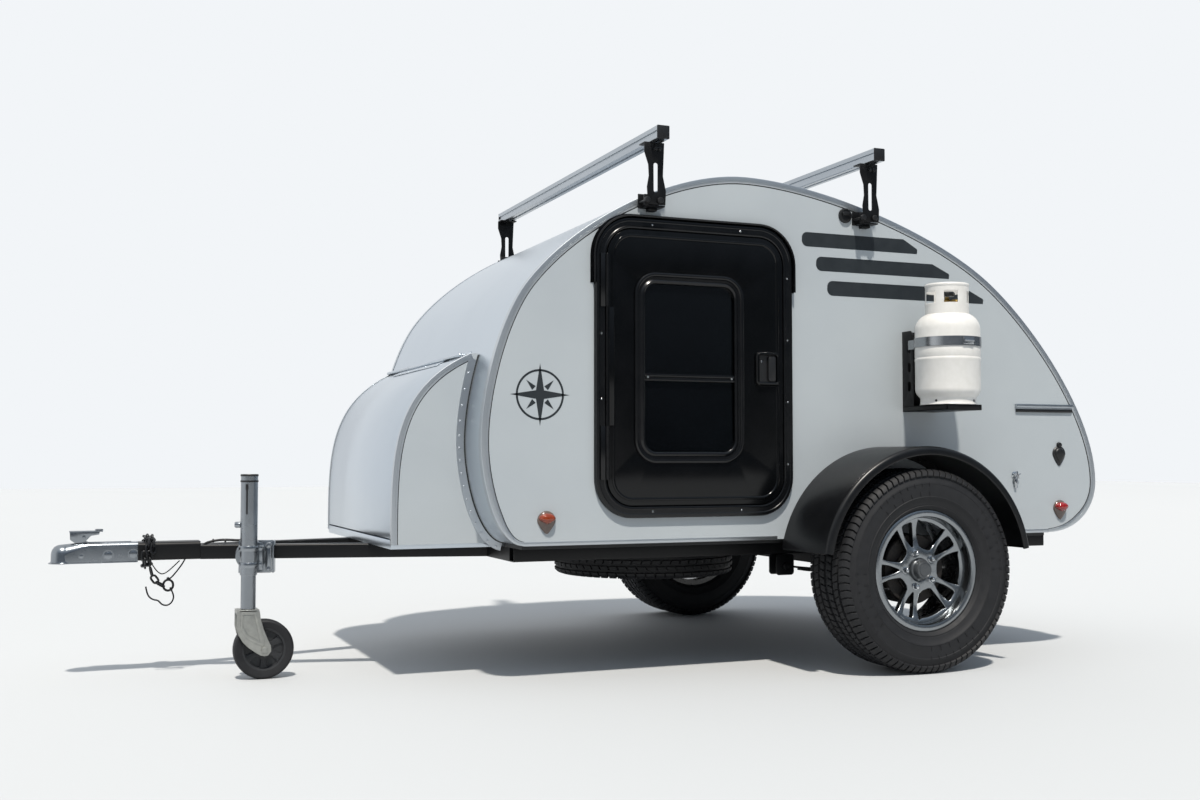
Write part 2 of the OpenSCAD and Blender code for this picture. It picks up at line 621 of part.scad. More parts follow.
// ---------------------------------------------------------------- hatch
module hatch_panel() color("#b9bfc4") from_axle() {
    slab(-hatch_y, hatch_y) rim_strip(0, shell_t, hatch_u + hatch_gap_u, hatch_end_u);
    at_hatch_hinge() hinge_half(1, [[-480 + knuckle_gap, -115 - knuckle_gap],
                                    [115 + knuckle_gap, 480 - knuckle_gap]]);
}
module on_hatch(u) let (p = rim(u, 0), d = rim_slope(u))
    translate([p[0], 0, p[1]]) rotate([0, -atan2(d[1], d[0]) + 90, 0]) children();
module tail_lamps() color("#8c1a16") from_axle() both_sides() on_hatch(4.9)
    translate([0.2, 470, -36]) cube([lamp_out, 210, 72]);
module hatch_handle() color("#2b2c2e") from_axle() on_hatch(5.28) {
    translate([0.2, -70, -20]) cube([5, 140, 40]);
    translate([5, -34, -8]) cube([11, 68, 16]);
}

// ---------------------------------------------------------------- doors
frame_out = 18;
leaf_w = door_frame_w - 2 * (door_rim + panel_gap);
leaf_h = door_frame_h - 2 * (door_rim + panel_gap);
leaf_r = door_frame_r - door_rim - panel_gap;
leaf_y = side_y + frame_out - 1;
door_hinge_x = door_x + leaf_w / 2 + panel_gap / 2;
door_hinge_y = side_y + frame_out + 6.5;
door_pin_r = 2.5;
door_knuckle_r = 6;
door_hinge_half = 380;
module on_wall(y, t) translate([door_x, y, door_z]) rotate([90, 0, 0]) linear_extrude(t) children();
module door_knuckle(from, to, side, bore) difference() {
    union() {
        translate([0, 0, from]) cylinder(h = to - from, r = door_knuckle_r, $fn = 32);
        translate([side > 0 ? 0 : -24, side > 0 ? -6.5 : -8, from])
            cube([24, side > 0 ? 5.5 : 6, to - from]);
    }
    if (bore > 0) translate([0, 0, from - 1]) cylinder(h = to - from + 2, r = bore, $fn = 32);
}
module door_frame() {
    difference() {
        union() {
            on_wall(side_y + frame_out, frame_out)
                polygon(round_rect(door_frame_w, door_frame_h, door_frame_r));
            on_wall(side_y, wall_t) polygon(round_rect(
                door_frame_w - 2 * door_opening_in, door_frame_h - 2 * door_opening_in,
                door_frame_r - door_opening_in));
        }
        on_wall(side_y + frame_out + 1, wall_t + frame_out + 2) polygon(round_rect(
            door_frame_w - 2 * door_rim, door_frame_h - 2 * door_rim, door_frame_r - door_rim));
    }
    translate([door_hinge_x, door_hinge_y, door_z]) {
        for (z = [[-door_hinge_half, -200], [200, door_hinge_half]])
            door_knuckle(z[0], z[1], 1, 0);
        translate([0, 0, -201]) cylinder(h = 402, r = door_pin_r, $fn = 32);
    }
}
module door_frames() color("#131416") from_axle() both_sides() door_frame();

window_x = 30;
window_r = 62;
window_rim = 38;
window_out = 9;
module door_panel() {
    difference() {
        on_wall(leaf_y, door_t) polygon(round_rect(leaf_w, leaf_h, leaf_r));
        translate([window_x, 0, 0]) on_wall(leaf_y + 1, door_t + 2)
            polygon(round_rect(window_w - 2 * window_rim, window_h - 2 * window_rim, window_r - 25));
    }
    translate([window_x, 0, 0]) on_wall(leaf_y + window_out, window_out) difference() {
        polygon(round_rect(window_w, window_h, window_r));
        polygon(round_rect(window_w - 2 * window_rim, window_h - 2 * window_rim, window_r - 25));
    }
    translate([window_x, 0, bar_z]) on_wall(leaf_y + 2, 20)
        square([window_w - 2 * window_rim, bar_h], center = true);
    translate([door_hinge_x, door_hinge_y, door_z])
        door_knuckle(-200 + knuckle_gap, 200 - knuckle_gap, -1, door_pin_r + 0.3);
}
bar_z = -33;
bar_h = 24;
// The two panes, one above and one below the window's middle bar
module door_glass() for (s = [-1, 1])
    translate([window_x, 0, 0]) on_wall(leaf_y - 8, glass_t) intersection() {
        polygon(round_rect(window_w - 2 * window_rim - 0.4, window_h - 2 * window_rim - 0.4,
            window_r - 25));
        translate([0, bar_z + s * (window_h / 2 + bar_h / 2 + 0.2)])
            square([window_w, window_h], center = true);
    }
latch_x = -272;
latch_w = 96;
latch_h = 121;
module door_latch() {
    translate([latch_x, 0, 6]) on_wall(leaf_y + 10, 10) difference() {
        polygon(round_rect(latch_w, latch_h, 14));
        polygon(round_rect(latch_w - 24, latch_h - 24, 8));
    }
    translate([latch_x, 0, 6]) on_wall(leaf_y + 3, 3) polygon(round_rect(latch_w - 24, latch_h - 24, 8));
    translate([latch_x, 0, 6]) on_wall(leaf_y + 12, 9) square([30, 84], center = true);
    translate([latch_x, 0, 6]) on_wall(leaf_y - door_t, 14) square([70, 40], center = true);
}
module door_panel_left() color("#17181b") from_axle() door_panel();
module door_panel_right() color("#17181b") from_axle() mirror([0, 1, 0]) door_panel();
module door_glass_left() color("#20262b", 0.6) from_axle() door_glass();
module door_glass_right() color("#20262b", 0.6) from_axle() mirror([0, 1, 0]) door_glass();
module door_latch_left() color("#0f1012") from_axle() door_latch();
module door_latch_right() color("#0f1012") from_axle() mirror([0, 1, 0]) door_latch();

// ---------------------------------------------------------------- roof rack
front_bar_x = 940;
rear_bar_x = 82;
rack_y = side_y + 55;
bar_len = 2 * (rack_y + bar_over);
bar_top = body_top + bar_rise;
leg_plate = 5;
module roof_bars() color("#8b9197") from_axle() for (x = [front_bar_x, rear_bar_x])
    translate([x, bar_len / 2, bar_top - bar / 2]) rotate([90, 0, 0]) linear_extrude(bar_len)
        difference() {
            square(bar, center = true);
            for (a = [0, 90, 180, 270]) rotate([0, 0, a]) translate([bar / 2 - 9, -4]) square([10, 8]);
            circle(r = 5, $fn = 24);
        }
rack_foot_z = body_top - 135;
module rack_leg(x) translate([x, 0, 0]) {
    top = bar_top - bar - 0.3;
    difference() {
        slab(rack_y, rack_y + leg_plate) polygon([
            [-24, rack_foot_z], [20, rack_foot_z], [24, rack_foot_z + 60], [16, top], [-34, top],
            [-22, rack_foot_z + 90]]);
        slab(rack_y - 1, rack_y + leg_plate + 1) {
            translate([-7, rack_foot_z + 50]) square([13, 85]);
            translate([-0.5, rack_foot_z + 50]) circle(d = 13);
            translate([-0.5, rack_foot_z + 135]) circle(d = 13);
        }
    }
    translate([-34, rack_y - 40, top - leg_plate]) cube([50, 41, leg_plate]);
    translate([-26, side_y + trim_t + 0.3, rack_foot_z - 6]) cube([52, leg_plate, 50]);
    translate([-26, side_y + trim_t + 0.3, rack_foot_z - 6])
        cube([52, rack_y - side_y - trim_t, leg_plate]);
    translate([0, rack_y + leg_plate + 8, rack_foot_z + 18]) rotate([90, 0, 0])
        cylinder(h = rack_y + leg_plate + 8 - side_y - trim_t - 2, d = 16, $fn = 32);
}
module rack_legs() color("#17181a") from_axle() both_sides() {
    rack_leg(front_bar_x);
    rack_leg(rear_bar_x);
}

// ---------------------------------------------------------------- gas bottle
bottle_x = -165;
bottle_y = side_y + 50 + bottle_d / 2;
bottle_r = bottle_d / 2;
shoulder_z = bottle_z + 331;
module gas_bottle() color("#e6e4de") from_axle() translate([bottle_x, bottle_y, 0])
    rotate_extrude($fn = 72) polygon(concat(
        [[0, bottle_z + 30], [bottle_r - 28, bottle_z + 22], [bottle_r - 22, bottle_z],
         [bottle_r - 17, bottle_z], [bottle_r - 19, bottle_z + 26]],
        [for (a = [-60 : 12 : 0]) [bottle_r - 34 + 34 * cos(a), bottle_z + 58 + 34 * sin(a)]],
        [for (a = [0 : 12 : 84]) [bottle_r - 62 + 62 * cos(a), shoulder_z - 62 + 62 * sin(a)]],
        [[30, shoulder_z], [30, shoulder_z + 14], [0, shoulder_z + 14]]));
collar_r = 92;
collar_top = bottle_z + 437;
module bottle_collar() color("#e6e4de") from_axle() translate([bottle_x, bottle_y, 0]) {
    difference() {
        translate([0, 0, shoulder_z - 7.4])
            cylinder(h = collar_top - shoulder_z + 7.4, r = collar_r, $fn = 72);
        translate([0, 0, shoulder_z - 40]) cylinder(h = 160, r = collar_r - 4, $fn = 72);
        for (a = [40, 110, 250]) rotate([0, 0, a])
            translate([collar_r - 12, -28, shoulder_z + 38]) cube([30, 56, 34]);
    }
    translate([0, 0, shoulder_z + 14]) cylinder(h = 46, r = 14, $fn = 32);
    translate([0, 0, shoulder_z + 62]) cylinder(h = 16, r = 26, $fn = 32);
    translate([0, 0, shoulder_z + 38]) rotate([-90, 0, 30]) cylinder(h = 48, r = 11, $fn = 32);
    translate([0, 0, shoulder_z + 59]) cylinder(h = 4, r = 9, $fn = 32);
}
bracket_w = 150;
bracket_h = 277;
shelf_z = bottle_z - 0.3;
module bottle_bracket() color("#2d3034") from_axle()
    translate([bottle_x - bracket_w / 2, side_y, shelf_z]) {
    cube([bracket_w, 4, bracket_h]);
    for (x = [0, bracket_w - 4]) translate([x, 0, 0]) difference() {
        cube([4, 68, bracket_h]);
        for (z = [60, 130, 200]) translate([-1, 20, z]) cube([6, 22, 30]);
    }
    translate([0, 0, -20]) cube([bracket_w, 262, 4]);
    for (x = [0, bracket_w - 4]) translate([x, 0, -20]) cube([4, 262, 20]);
    translate([0, 0, -20]) cube([bracket_w, 4, 22]);
    translate([0, 0, -4]) cube([bracket_w, 262, 4]);
}
strap_z = 1160;
strap_w = 34;
strap_t = 1.5;
strap_end = -sqrt(pow(bottle_r, 2) - pow(bracket_w / 2, 2)) - 1;
module bottle_strap() color("#c4c7ca") from_axle()
    translate([bottle_x, bottle_y, strap_z - strap_w / 2]) {
        difference() {
            cylinder(h = strap_w, r = bottle_r + 0.3 + strap_t, $fn = 72);
            translate([0, 0, -1]) cylinder(h = strap_w + 2, r = bottle_r + 0.3, $fn = 72);
            translate([-bottle_r, strap_end - 100, -1]) cube([2 * bottle_r, 100, strap_w + 2]);
        }
        for (s = [0, 1]) mirror([s, 0, 0]) translate([bracket_w / 2 + 0.3, -bottle_r - 10, 0])
            cube([strap_t, strap_end + bottle_r + 10 + 0.5, strap_w]);
    }

// ---------------------------------------------------------------- lamps and fittings
module wall_disc(x, z, r, t) translate([x, side_y + t, z]) rotate([90, 0, 0])
    cylinder(h = t, r = r, $fn = 48);
module side_lamps() color("#c2541c") from_axle() both_sides() {
    wall_disc(1312, 540, 32, 12);
    wall_disc(1312, 543, 24, 26);
    wall_disc(-817, 550, 32, 12);
    wall_disc(-817, 553, 24, 26);
}
rail_x = -874;
rail_len = 268;
module wall_fittings() color("#202225") from_axle() both_sides() {
    translate([rail_x, side_y, 933]) cube([rail_len, 13, 18]);
    wall_disc(-816, 760, 31, 14);
    wall_disc(-600, 668, 11, 22);
    wall_disc(155, 1630, 27, 16);
}

// ---------------------------------------------------------------- jockey wheel
// Bracket frame: on the left leg's outer face, at the height of the swing pivot
bracket_back = (jockey_y - leg_face_y(jockey_x)) * cos(leg_angle);
function leg_face_y(x) = leg_tip_y + (leg_tip_x - x) * tan(leg_angle);
module at_jockey() from_axle() translate([jockey_x, jockey_y, 0]) rotate([0, 0, -leg_angle]) children();
pivot_plate_t = 6;
swivel_r = 52;
swivel_gap = 0.5;
clamp_t = 8;
module jockey_bracket() color("#a6abae") at_jockey() translate([0, -bracket_back, 0]) {
    translate([-75, 0.3, frame_bottom - 45]) cube([150, pivot_plate_t, 110]);
    for (x = [-75, 69]) translate([x, 0.3, frame_bottom - 45]) cube([6, 50, 110]);
    translate([-75, 44.3, frame_bottom - 45]) cube([150, pivot_plate_t, 110]);
    translate([0, 50, jockey_pivot_z]) rotate([-90, 0, 0])
        cylinder(h = 15, r = swivel_r, $fn = 64);
}
module jockey_tube() color("#a6abae") at_jockey() {
    difference() {
        union() {
            translate([0, 0, jockey_low])
                cylinder(h = jockey_top - jockey_low, d = jockey_tube_d, $fn = 48);
            translate([0, -bracket_back + 65 + swivel_gap, jockey_pivot_z]) rotate([-90, 0, 0])
                cylinder(h = clamp_t, r = swivel_r, $fn = 64);
            translate([-26, -bracket_back + 65 + swivel_gap, jockey_pivot_z - 50])
                cube([52, bracket_back - 65 - swivel_gap, 100]);
            translate([0, 0, jockey_top]) cylinder(h = 7, d = jockey_tube_d + 3, $fn = 48);
        }
        translate([0, 0, jockey_low - 1]) cylinder(h = jockey_top - jockey_low - 3,
            d = jockey_tube_d - 2 * jockey_tube_wall, $fn = 48);
    }
    translate([0, -26, jockey_top - 22]) rotate([90, 0, 0]) cylinder(h = 45, d = 16, $fn = 32);
    translate([-9, -76, jockey_top - 110]) cube([18, 6, 100]);
    translate([0, -76, jockey_top - 100]) rotate([90, 0, 0]) cylinder(h = 46, d = 22, $fn = 32);
}
leg_d = jockey_tube_d - 2 * jockey_tube_wall - 2 * jockey_fit;
fork_top = 236;
module jockey_leg() color("#b6babd") at_jockey() {
    translate([0, 0, fork_top + 0.5]) cylinder(h = 330, d = leg_d, $fn = 48);
    translate([0, 0, fork_top - 24]) cylinder(h = 25, d = 20, $fn = 32);
}
fork_t = 5;
fork_in = jockey_wheel_w / 2 + 6;
module at_jockey_wheel() translate([-jockey_trail, 0, jockey_wheel_d / 2]) children();
module jockey_fork() color("#a6abae") at_jockey() rotate([0, 0, leg_angle]) {
    difference() {
        translate([-34, -fork_in - fork_t, fork_top - 14]) cube([62, 2 * (fork_in + fork_t), 14]);
        translate([0, 0, fork_top - 15]) cylinder(h = 16, d = 20.6, $fn = 32);
    }
    for (s = [-1, 1]) slab(s > 0 ? fork_in : -fork_in - fork_t, s > 0 ? fork_in + fork_t : -fork_in)
        polygon([[28, fork_top], [-34, fork_top], [-36, fork_top - 45], [-jockey_trail - 14, 88],
            [-jockey_trail - 6, 82], [-jockey_trail + 8, 86], [10, 140], [24, fork_top - 45]]);
    at_jockey_wheel() translate([0, fork_in + fork_t + 6, 0]) rotate([90, 0, 0])
        cylinder(h = 2 * (fork_in + fork_t + 6), d = 12, $fn = 32);
}
module jockey_wheel() color("#303236") at_jockey() rotate([0, 0, leg_angle]) at_jockey_wheel()
    rotate([90, 0, 0]) difference() {
        union() {
            rotate_extrude($fn = 64) polygon([
                [jockey_wheel_d / 2 - 30, -jockey_wheel_w / 2 + 4],
                [jockey_wheel_d / 2 - 8, -jockey_wheel_w / 2],
                [jockey_wheel_d / 2, -jockey_wheel_w / 2 + 8], [jockey_wheel_d / 2, jockey_wheel_w / 2 - 8],
                [jockey_wheel_d / 2 - 8, jockey_wheel_w / 2],
                [jockey_wheel_d / 2 - 30, jockey_wheel_w / 2 - 4]]);
            cylinder(h = 18, r = jockey_wheel_d / 2 - 28, center = true, $fn = 64);
            cylinder(h = jockey_wheel_w, r = 16, center = true, $fn = 32);
        }
        for (k = [0 : 5]) rotate([0, 0, 60 * k]) translate([46, 0, 0])
            cylinder(h = 40, r = 14, center = true, $fn = 24);
        cylinder(h = jockey_wheel_w + 2, d = 12.6, center = true, $fn = 32);
    }

drawbar_legs();
chassis_rails();
crossmembers();
drawbar_nose();
coupler_body();
coupler_lever();
safety_chain();
plug_lead();
floor_panel();
side_wall_left();
side_wall_right();
roof_shell();
rear_valance();
edge_trims();
door_frames();
bulkhead();
galley_counter();
nose_box();
axle_beam();
leaf_springs();
spring_hangers();
fenders();
spare_tyre();
spare_rim();
spare_carrier();
roof_bars();
rack_legs();
gas_bottle();
bottle_collar();
bottle_bracket();
bottle_strap();
side_lamps();
wall_fittings();
hatch_panel();
tail_lamps();
hatch_handle();
box_lid();
door_panel_left();
door_glass_left();
door_latch_left();
door_panel_right();
door_glass_right();
door_latch_right();
tyre_left();
rim_left();
hub_left();
tyre_right();
rim_right();
hub_right();
jockey_bracket();
jockey_tube();
jockey_leg();
jockey_fork();
jockey_wheel();
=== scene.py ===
"""Teardrop camping trailer: the finished look of each piece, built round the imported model.

Each section is one piece or group of pieces, in the order in which the trailer is put together.
Sizes are in millimetres from the middle of the axle, with +X to the coupling, +Y to the left, +Z up.
"""

import math

import bmesh
import bpy
from mathutils import Matrix, Vector


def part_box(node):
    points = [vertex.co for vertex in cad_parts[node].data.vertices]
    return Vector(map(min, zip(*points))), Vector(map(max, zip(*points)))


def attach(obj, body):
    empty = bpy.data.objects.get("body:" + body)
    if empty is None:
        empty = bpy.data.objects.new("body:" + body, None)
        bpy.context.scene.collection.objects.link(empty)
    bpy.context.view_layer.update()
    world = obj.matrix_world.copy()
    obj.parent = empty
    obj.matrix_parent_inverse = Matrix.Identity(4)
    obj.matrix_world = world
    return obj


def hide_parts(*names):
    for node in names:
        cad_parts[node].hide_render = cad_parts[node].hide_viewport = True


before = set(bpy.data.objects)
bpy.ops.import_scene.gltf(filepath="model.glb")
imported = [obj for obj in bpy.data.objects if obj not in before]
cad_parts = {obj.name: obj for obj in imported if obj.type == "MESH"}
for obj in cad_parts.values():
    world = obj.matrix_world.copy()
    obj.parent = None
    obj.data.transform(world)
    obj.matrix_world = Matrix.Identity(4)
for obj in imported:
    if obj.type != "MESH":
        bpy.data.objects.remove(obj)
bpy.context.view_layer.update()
scene = bpy.context.scene

# ---- Studio ---------------------------------------------------------------------------------
# A pale floor, one high soft light over the left side and a plain surround that is bright behind
# the trailer and dim in front of it, so that black paint stays black.
MM = 0.001
wheel_low, wheel_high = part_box("tyre_left")
axle_x = (wheel_low.x + wheel_high.x) / 2 / MM


def hex_colour(code):
    """An sRGB hex colour as the linear colour that shaders take."""
    parts = [int(code[i : i + 2], 16) / 255 for i in (1, 3, 5)]
    return [p / 12.92 if p <= 0.04045 else ((p + 0.055) / 1.055) ** 2.4 for p in parts] + [1.0]


def add_node(mat, kind, settings=None, links=None):
    """Adds a node to a material, with its settings by name and the outputs that feed it."""
    node = mat.node_tree.nodes.new("ShaderNode" + kind)
    for key, value in (settings or {}).items():
        if hasattr(node, str(key)):
            setattr(node, key, value)
        else:
            node.inputs[key].default_value = value
    for key, output in (links or {}).items():
        mat.node_tree.links.new(output, node.inputs[key])
    return node


camera_data = bpy.data.cameras.new("camera")
camera_data.lens = 39.07
camera_data.sensor_width = 36.0
camera = bpy.data.objects.new("camera", camera_data)
camera.location = (1.8706, 4.7762, 0.7442)
camera.rotation_euler = (math.radians(92.57), 0, math.radians(157.67))
scene.collection.objects.link(camera)
scene.camera = camera

# The main lamp stands high over the left side; it is far and small enough to draw soft shadows.
sun = bpy.data.lights.new("key_light", "SUN")
sun.energy, sun.angle, sun.color = 4.3, math.radians(2.5), hex_colour("#fff8ee")[:3]
lamp = bpy.data.objects.new("key_light", sun)
lamp.location = (1, 3, 6)
lamp.rotation_euler = Vector((-0.14, -0.45, -0.88)).to_track_quat("-Z", "Y").to_euler()
scene.collection.objects.link(lamp)

# The surround: bright behind the trailer, a pale sky above and a dim room in front of it. The
# backdrop itself is plain and pale from every side.
scene.world = bpy.data.worlds.new("surround")
scene.world.use_nodes = True
surround = scene.world.node_tree.nodes["Background"]
surround.inputs["Strength"].default_value = 1.0
aim = add_node(scene.world, "TexCoord")
parts = add_node(scene.world, "SeparateXYZ", links={"Vector": aim.outputs["Generated"]})
sky_tint = add_node(scene.world, "ValToRGB", links={"Fac": parts.outputs["Z"]})
sky_tint.color_ramp.elements[0].color = hex_colour("#2a2f35")
sky_tint.color_ramp.elements[1].color = hex_colour("#b2c2d4")
sky_tint.color_ramp.elements[1].position = 0.7
lean = add_node(
    scene.world, "Math", {"operation": "MULTIPLY_ADD", 1: -0.45},
    {0: parts.outputs["X"], 2: parts.outputs["Y"]},
)
behind = add_node(
    scene.world, "MapRange", {"From Min": 0.3, "From Max": -0.3}, {"Value": lean.outputs["Value"]}
)
pale = {"data_type": "RGBA", 7: hex_colour("#f2f5f8")}
whole_tint = add_node(
    scene.world, "Mix", pale, {"Factor": behind.outputs["Result"], 6: sky_tint.outputs["Color"]}
)
seen = add_node(scene.world, "LightPath").outputs["Is Camera Ray"]
backdrop = add_node(scene.world, "Mix", pale, {"Factor": seen, 6: whole_tint.outputs[2]})
scene.world.node_tree.links.new(backdrop.outputs[2], surround.inputs["Color"])
scene.view_settings.view_transform = "Standard"

# Painted studio floor: matt, off-white, with a faint mottle.
studio_floor = bpy.data.materials.new("studio_floor_paint")
studio_floor.use_nodes = True
floor_shader = studio_floor.node_tree.nodes["Principled BSDF"]
floor_shader.inputs["Roughness"].default_value = 0.8
floor_spots = add_node(studio_floor, "TexNoise", {"Scale": 3.0, "Detail": 3.0})
floor_tint = add_node(studio_floor, "ValToRGB", links={"Fac": floor_spots.outputs["Fac"]})
floor_tint.color_ramp.elements[0].color = hex_colour("#b6b9bb")
floor_tint.color_ramp.elements[1].color = hex_colour("#bcbec0")
studio_floor.node_tree.links.new(floor_tint.outputs["Color"], floor_shader.inputs["Base Color"])
floor_mesh = bmesh.new()
bmesh.ops.create_grid(floor_mesh, x_segments=1, y_segments=1, size=30.0)
floor_data = bpy.data.meshes.new("studio_floor")
floor_mesh.to_mesh(floor_data)
floor_mesh.free()
floor_data.materials.append(studio_floor)
floor = bpy.data.objects.new("studio_floor", floor_data)
scene.collection.objects.link(floor)

# ---- Chassis frame --------------------------------------------------------------------------
# Two rails, five crossmembers and an A-shaped drawbar, of 50 mm square steel tube with rolled
# corners, welded and then powder coated satin black. The nose section carries the coupling.
TUBE, TUBE_WALL, FRAME_LOW = 50, 3, 395
SAME_SPOT = 0.01  # corners closer than this are one


def finish(name, grain, shades, rough, bump=0.0, metallic=0.0, stretch=(1, 1, 1), detail=4.0, **values):
    """A new material whose colour, roughness and relief vary over patches `grain` mm across."""
    mat = bpy.data.materials.new(name)
    mat.use_nodes = True
    mat.diffuse_color = hex_colour(shades[0])
    shader = mat.node_tree.nodes["Principled BSDF"]
    shader.inputs["Base Color"].default_value = hex_colour(shades[0])
    shader.inputs["Roughness"].default_value = rough[0]
    shader.inputs["Metallic"].default_value = metallic
    for key, value in values.items():
        shader.inputs[key.replace("_", " ")].default_value = value
    where = add_node(mat, "TexCoord")
    stretched = add_node(mat, "Mapping", {"Scale": stretch}, {"Vector": where.outputs["Object"]})
    fineness = {"Scale": 1 / (grain * MM), "Detail": detail}
    noise = add_node(mat, "TexNoise", fineness, {"Vector": stretched.outputs["Vector"]}).outputs["Fac"]
    tint = add_node(mat, "ValToRGB", links={"Fac": noise})
    for stop, place, shade in zip(tint.color_ramp.elements, (0.3, 0.7), shades):
        stop.position, stop.color = place, hex_colour(shade)
    spread = add_node(mat, "MapRange", {"To Min": rough[0], "To Max": rough[1]}, {"Value": noise})
    mat.node_tree.links.new(tint.outputs["Color"], shader.inputs["Base Color"])
    mat.node_tree.links.new(spread.outputs["Result"], shader.inputs["Roughness"])
    if bump:
        relief(mat, noise, bump)
    return mat


def relief(mat, height, depth, strength=1.0):
    """Relief of a depth in millimetres on a material, from the output that gives its height."""
    bump = add_node(mat, "Bump", {"Strength": strength, "Distance": depth * MM}, {"Height": height})
    shader = mat.node_tree.nodes["Principled BSDF"]
    mat.node_tree.links.new(bump.outputs["Normal"], shader.inputs["Normal"])


def laid_over(mat, colour, full_at, none_at, amount=1.0, speck=None):
    """A second colour on a material between two heights in metres, in specks if asked."""
    base = mat.node_tree.nodes["Principled BSDF"].inputs["Base Color"]
    own = base.links[0].from_socket
    where = add_node(mat, "TexCoord")
    apart = add_node(mat, "SeparateXYZ", links={"Vector": where.outputs["Object"]})
    heights = {"From Min": none_at, "From Max": full_at, "To Max": amount}
    share = add_node(mat, "MapRange", heights, {"Value": apart.outputs["Z"]}).outputs["Result"]
    if speck:
        share = add_node(mat, "Math", {"operation": "MULTIPLY"}, {0: share, 1: speck}).outputs["Value"]
    both = add_node(mat, "Mix", {"data_type": "RGBA", 7: hex_colour(colour)}, {"Factor": share, 6: own})
    mat.node_tree.links.new(both.outputs[2], base)


# Polyester powder coat on steel: satin black with a fine orange peel.
powder_coat = finish("black_powder_coat", 3, ("#07080a", "#0c0d0f"), (0.34, 0.46), 0.05,
                     Specular_IOR_Level=0.28)


def moved(part, place):
    """The part, put in place by a matrix or shifted by three millimetre values."""
    matrix = place if isinstance(place, Matrix) else Matrix.Translation(place)
    bmesh.ops.transform(part, matrix=matrix, verts=part.verts)
    return part


def turn(degrees, axis):
    return Matrix.Rotation(math.radians(degrees), 4, axis)


def shift(x, y, z):
    return Matrix.Translation((x, y, z))


def arc(r, angles, x=0.0, y=0.0):
    """Points at a radius about (x, y), at angles in degrees."""
    turns = [math.radians(a) for a in angles]
    return [(x + r * math.cos(a), y + r * math.sin(a)) for a in turns]


def spun(points, degrees):
    """Flat points turned about the origin."""
    c, s = math.cos(math.radians(degrees)), math.sin(math.radians(degrees))
    return [(x * c - y * s, x * s + y * c) for x, y in points]


def skinned(part, rows, closed=False):
    """Faces between closed rows of corners; the last row meets the first, or both are capped."""
    for a, b in zip(rows, rows[1:] + (rows[:1] if closed else [])):
        for k in range(len(a)):
            j = (k + 1) % len(a)
            part.faces.new((a[k], a[j], b[j], b[k]))
    if not closed:
        part.faces.new(rows[0])
        part.faces.new(rows[-1])
    return part


def joined(parts):
    """Several parts as one."""
    whole = bmesh.new()
    for part in parts:
        mesh = bpy.data.meshes.new("part")
        part.to_mesh(mesh)
        part.free()
        whole.from_mesh(mesh)
        bpy.data.meshes.remove(mesh)
    return whole


def softened(part, width, segments=2, angle=30):
    """The part with every edge sharper than an angle rounded off."""
    bmesh.ops.remove_doubles(part, verts=part.verts, dist=SAME_SPOT)
    bmesh.ops.recalc_face_normals(part, faces=part.faces)
    edges = [
        e for e in part.edges
        if len(e.link_faces) == 2 and e.calc_face_angle(0) > math.radians(angle)
    ]
    bmesh.ops.bevel(
        part, geom=edges, offset=width, offset_type="OFFSET", segments=segments, profile=0.5,
        affect="EDGES", material=-1, clamp_overlap=True, miter_outer="ARC",
    )
    return part


def pulled(part, by):
    """A flat part pulled out into a solid."""
    out = bmesh.ops.extrude_face_region(part, geom=part.faces[:])
    verts = [g for g in out["geom"] if isinstance(g, bmesh.types.BMVert)]
    bmesh.ops.translate(part, verts=verts, vec=by)
    return part


def rounded_face(w, h, r, segments=6):
    """A flat face in X and Y with round corners."""
    part = bmesh.new()
    bmesh.ops.create_grid(part, x_segments=1, y_segments=1, size=0.5)
    bmesh.ops.scale(part, vec=(w, h, 1), verts=part.verts)
    if r:
        bmesh.ops.bevel(
            part, geom=part.verts[:], offset=r, segments=segments, profile=0.5,
            affect="VERTICES", material=-1,
        )
    return part


def slab(w, h, thick, r=0, soft=0, segments=6):
    """A plate in X and Y with round corners, `thick` upwards from Z = 0."""
    part = pulled(rounded_face(w, h, r, segments), (0, 0, thick))
    return softened(part, soft) if soft else part


def block(x, y, z, soft=0):
    """A box between two values on each axis."""
    part = bmesh.new()
    bmesh.ops.create_cube(part, size=1.0)
    bmesh.ops.scale(part, vec=(x[1] - x[0], y[1] - y[0], z[1] - z[0]), verts=part.verts)
    bmesh.ops.translate(part, verts=part.verts, vec=[(a + b) / 2 for a, b in (x, y, z)])
    return softened(part, soft) if soft else part


def square_tube(w, h, wall, corner, length):
    """A hollow section in X and Y, pulled along Z."""
    part = rounded_face(w, h, corner, 4)
    inner = part.faces[:]
    bmesh.ops.inset_region(part, faces=inner, thickness=wall, use_boundary=True)
    bmesh.ops.delete(part, geom=inner, context="FACES")
    return pulled(part, (0, 0, length))


def piece(name, part, material, body="trailer", replaces=(), twin=False, angle=32):
    """Makes a finished, smooth-shaded piece of a part, and its mirror image on the right side."""
    if twin:
        bmesh.ops.mirror(
            part, geom=part.verts[:] + part.edges[:] + part.faces[:], matrix=Matrix.Identity(4),
            merge_dist=0.0, axis="Y",
        )
    bmesh.ops.remove_doubles(part, verts=part.verts, dist=SAME_SPOT)
    bmesh.ops.recalc_face_normals(part, faces=part.faces)
    moved(part, Matrix.Scale(MM, 4) @ shift(axle_x, 0, 0))
    mesh = bpy.data.meshes.new(name)
    part.to_mesh(mesh)
    part.free()
    mesh.shade_smooth()
    mesh.set_sharp_from_angle(angle=math.radians(angle))
    for mat in material if isinstance(material, (list, tuple)) else [material]:
        mesh.materials.append(mat)
    obj = bpy.data.objects.new(name, mesh)
    scene.collection.objects.link(obj)
    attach(obj, body)
    if replaces:
        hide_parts(*replaces)
    return obj


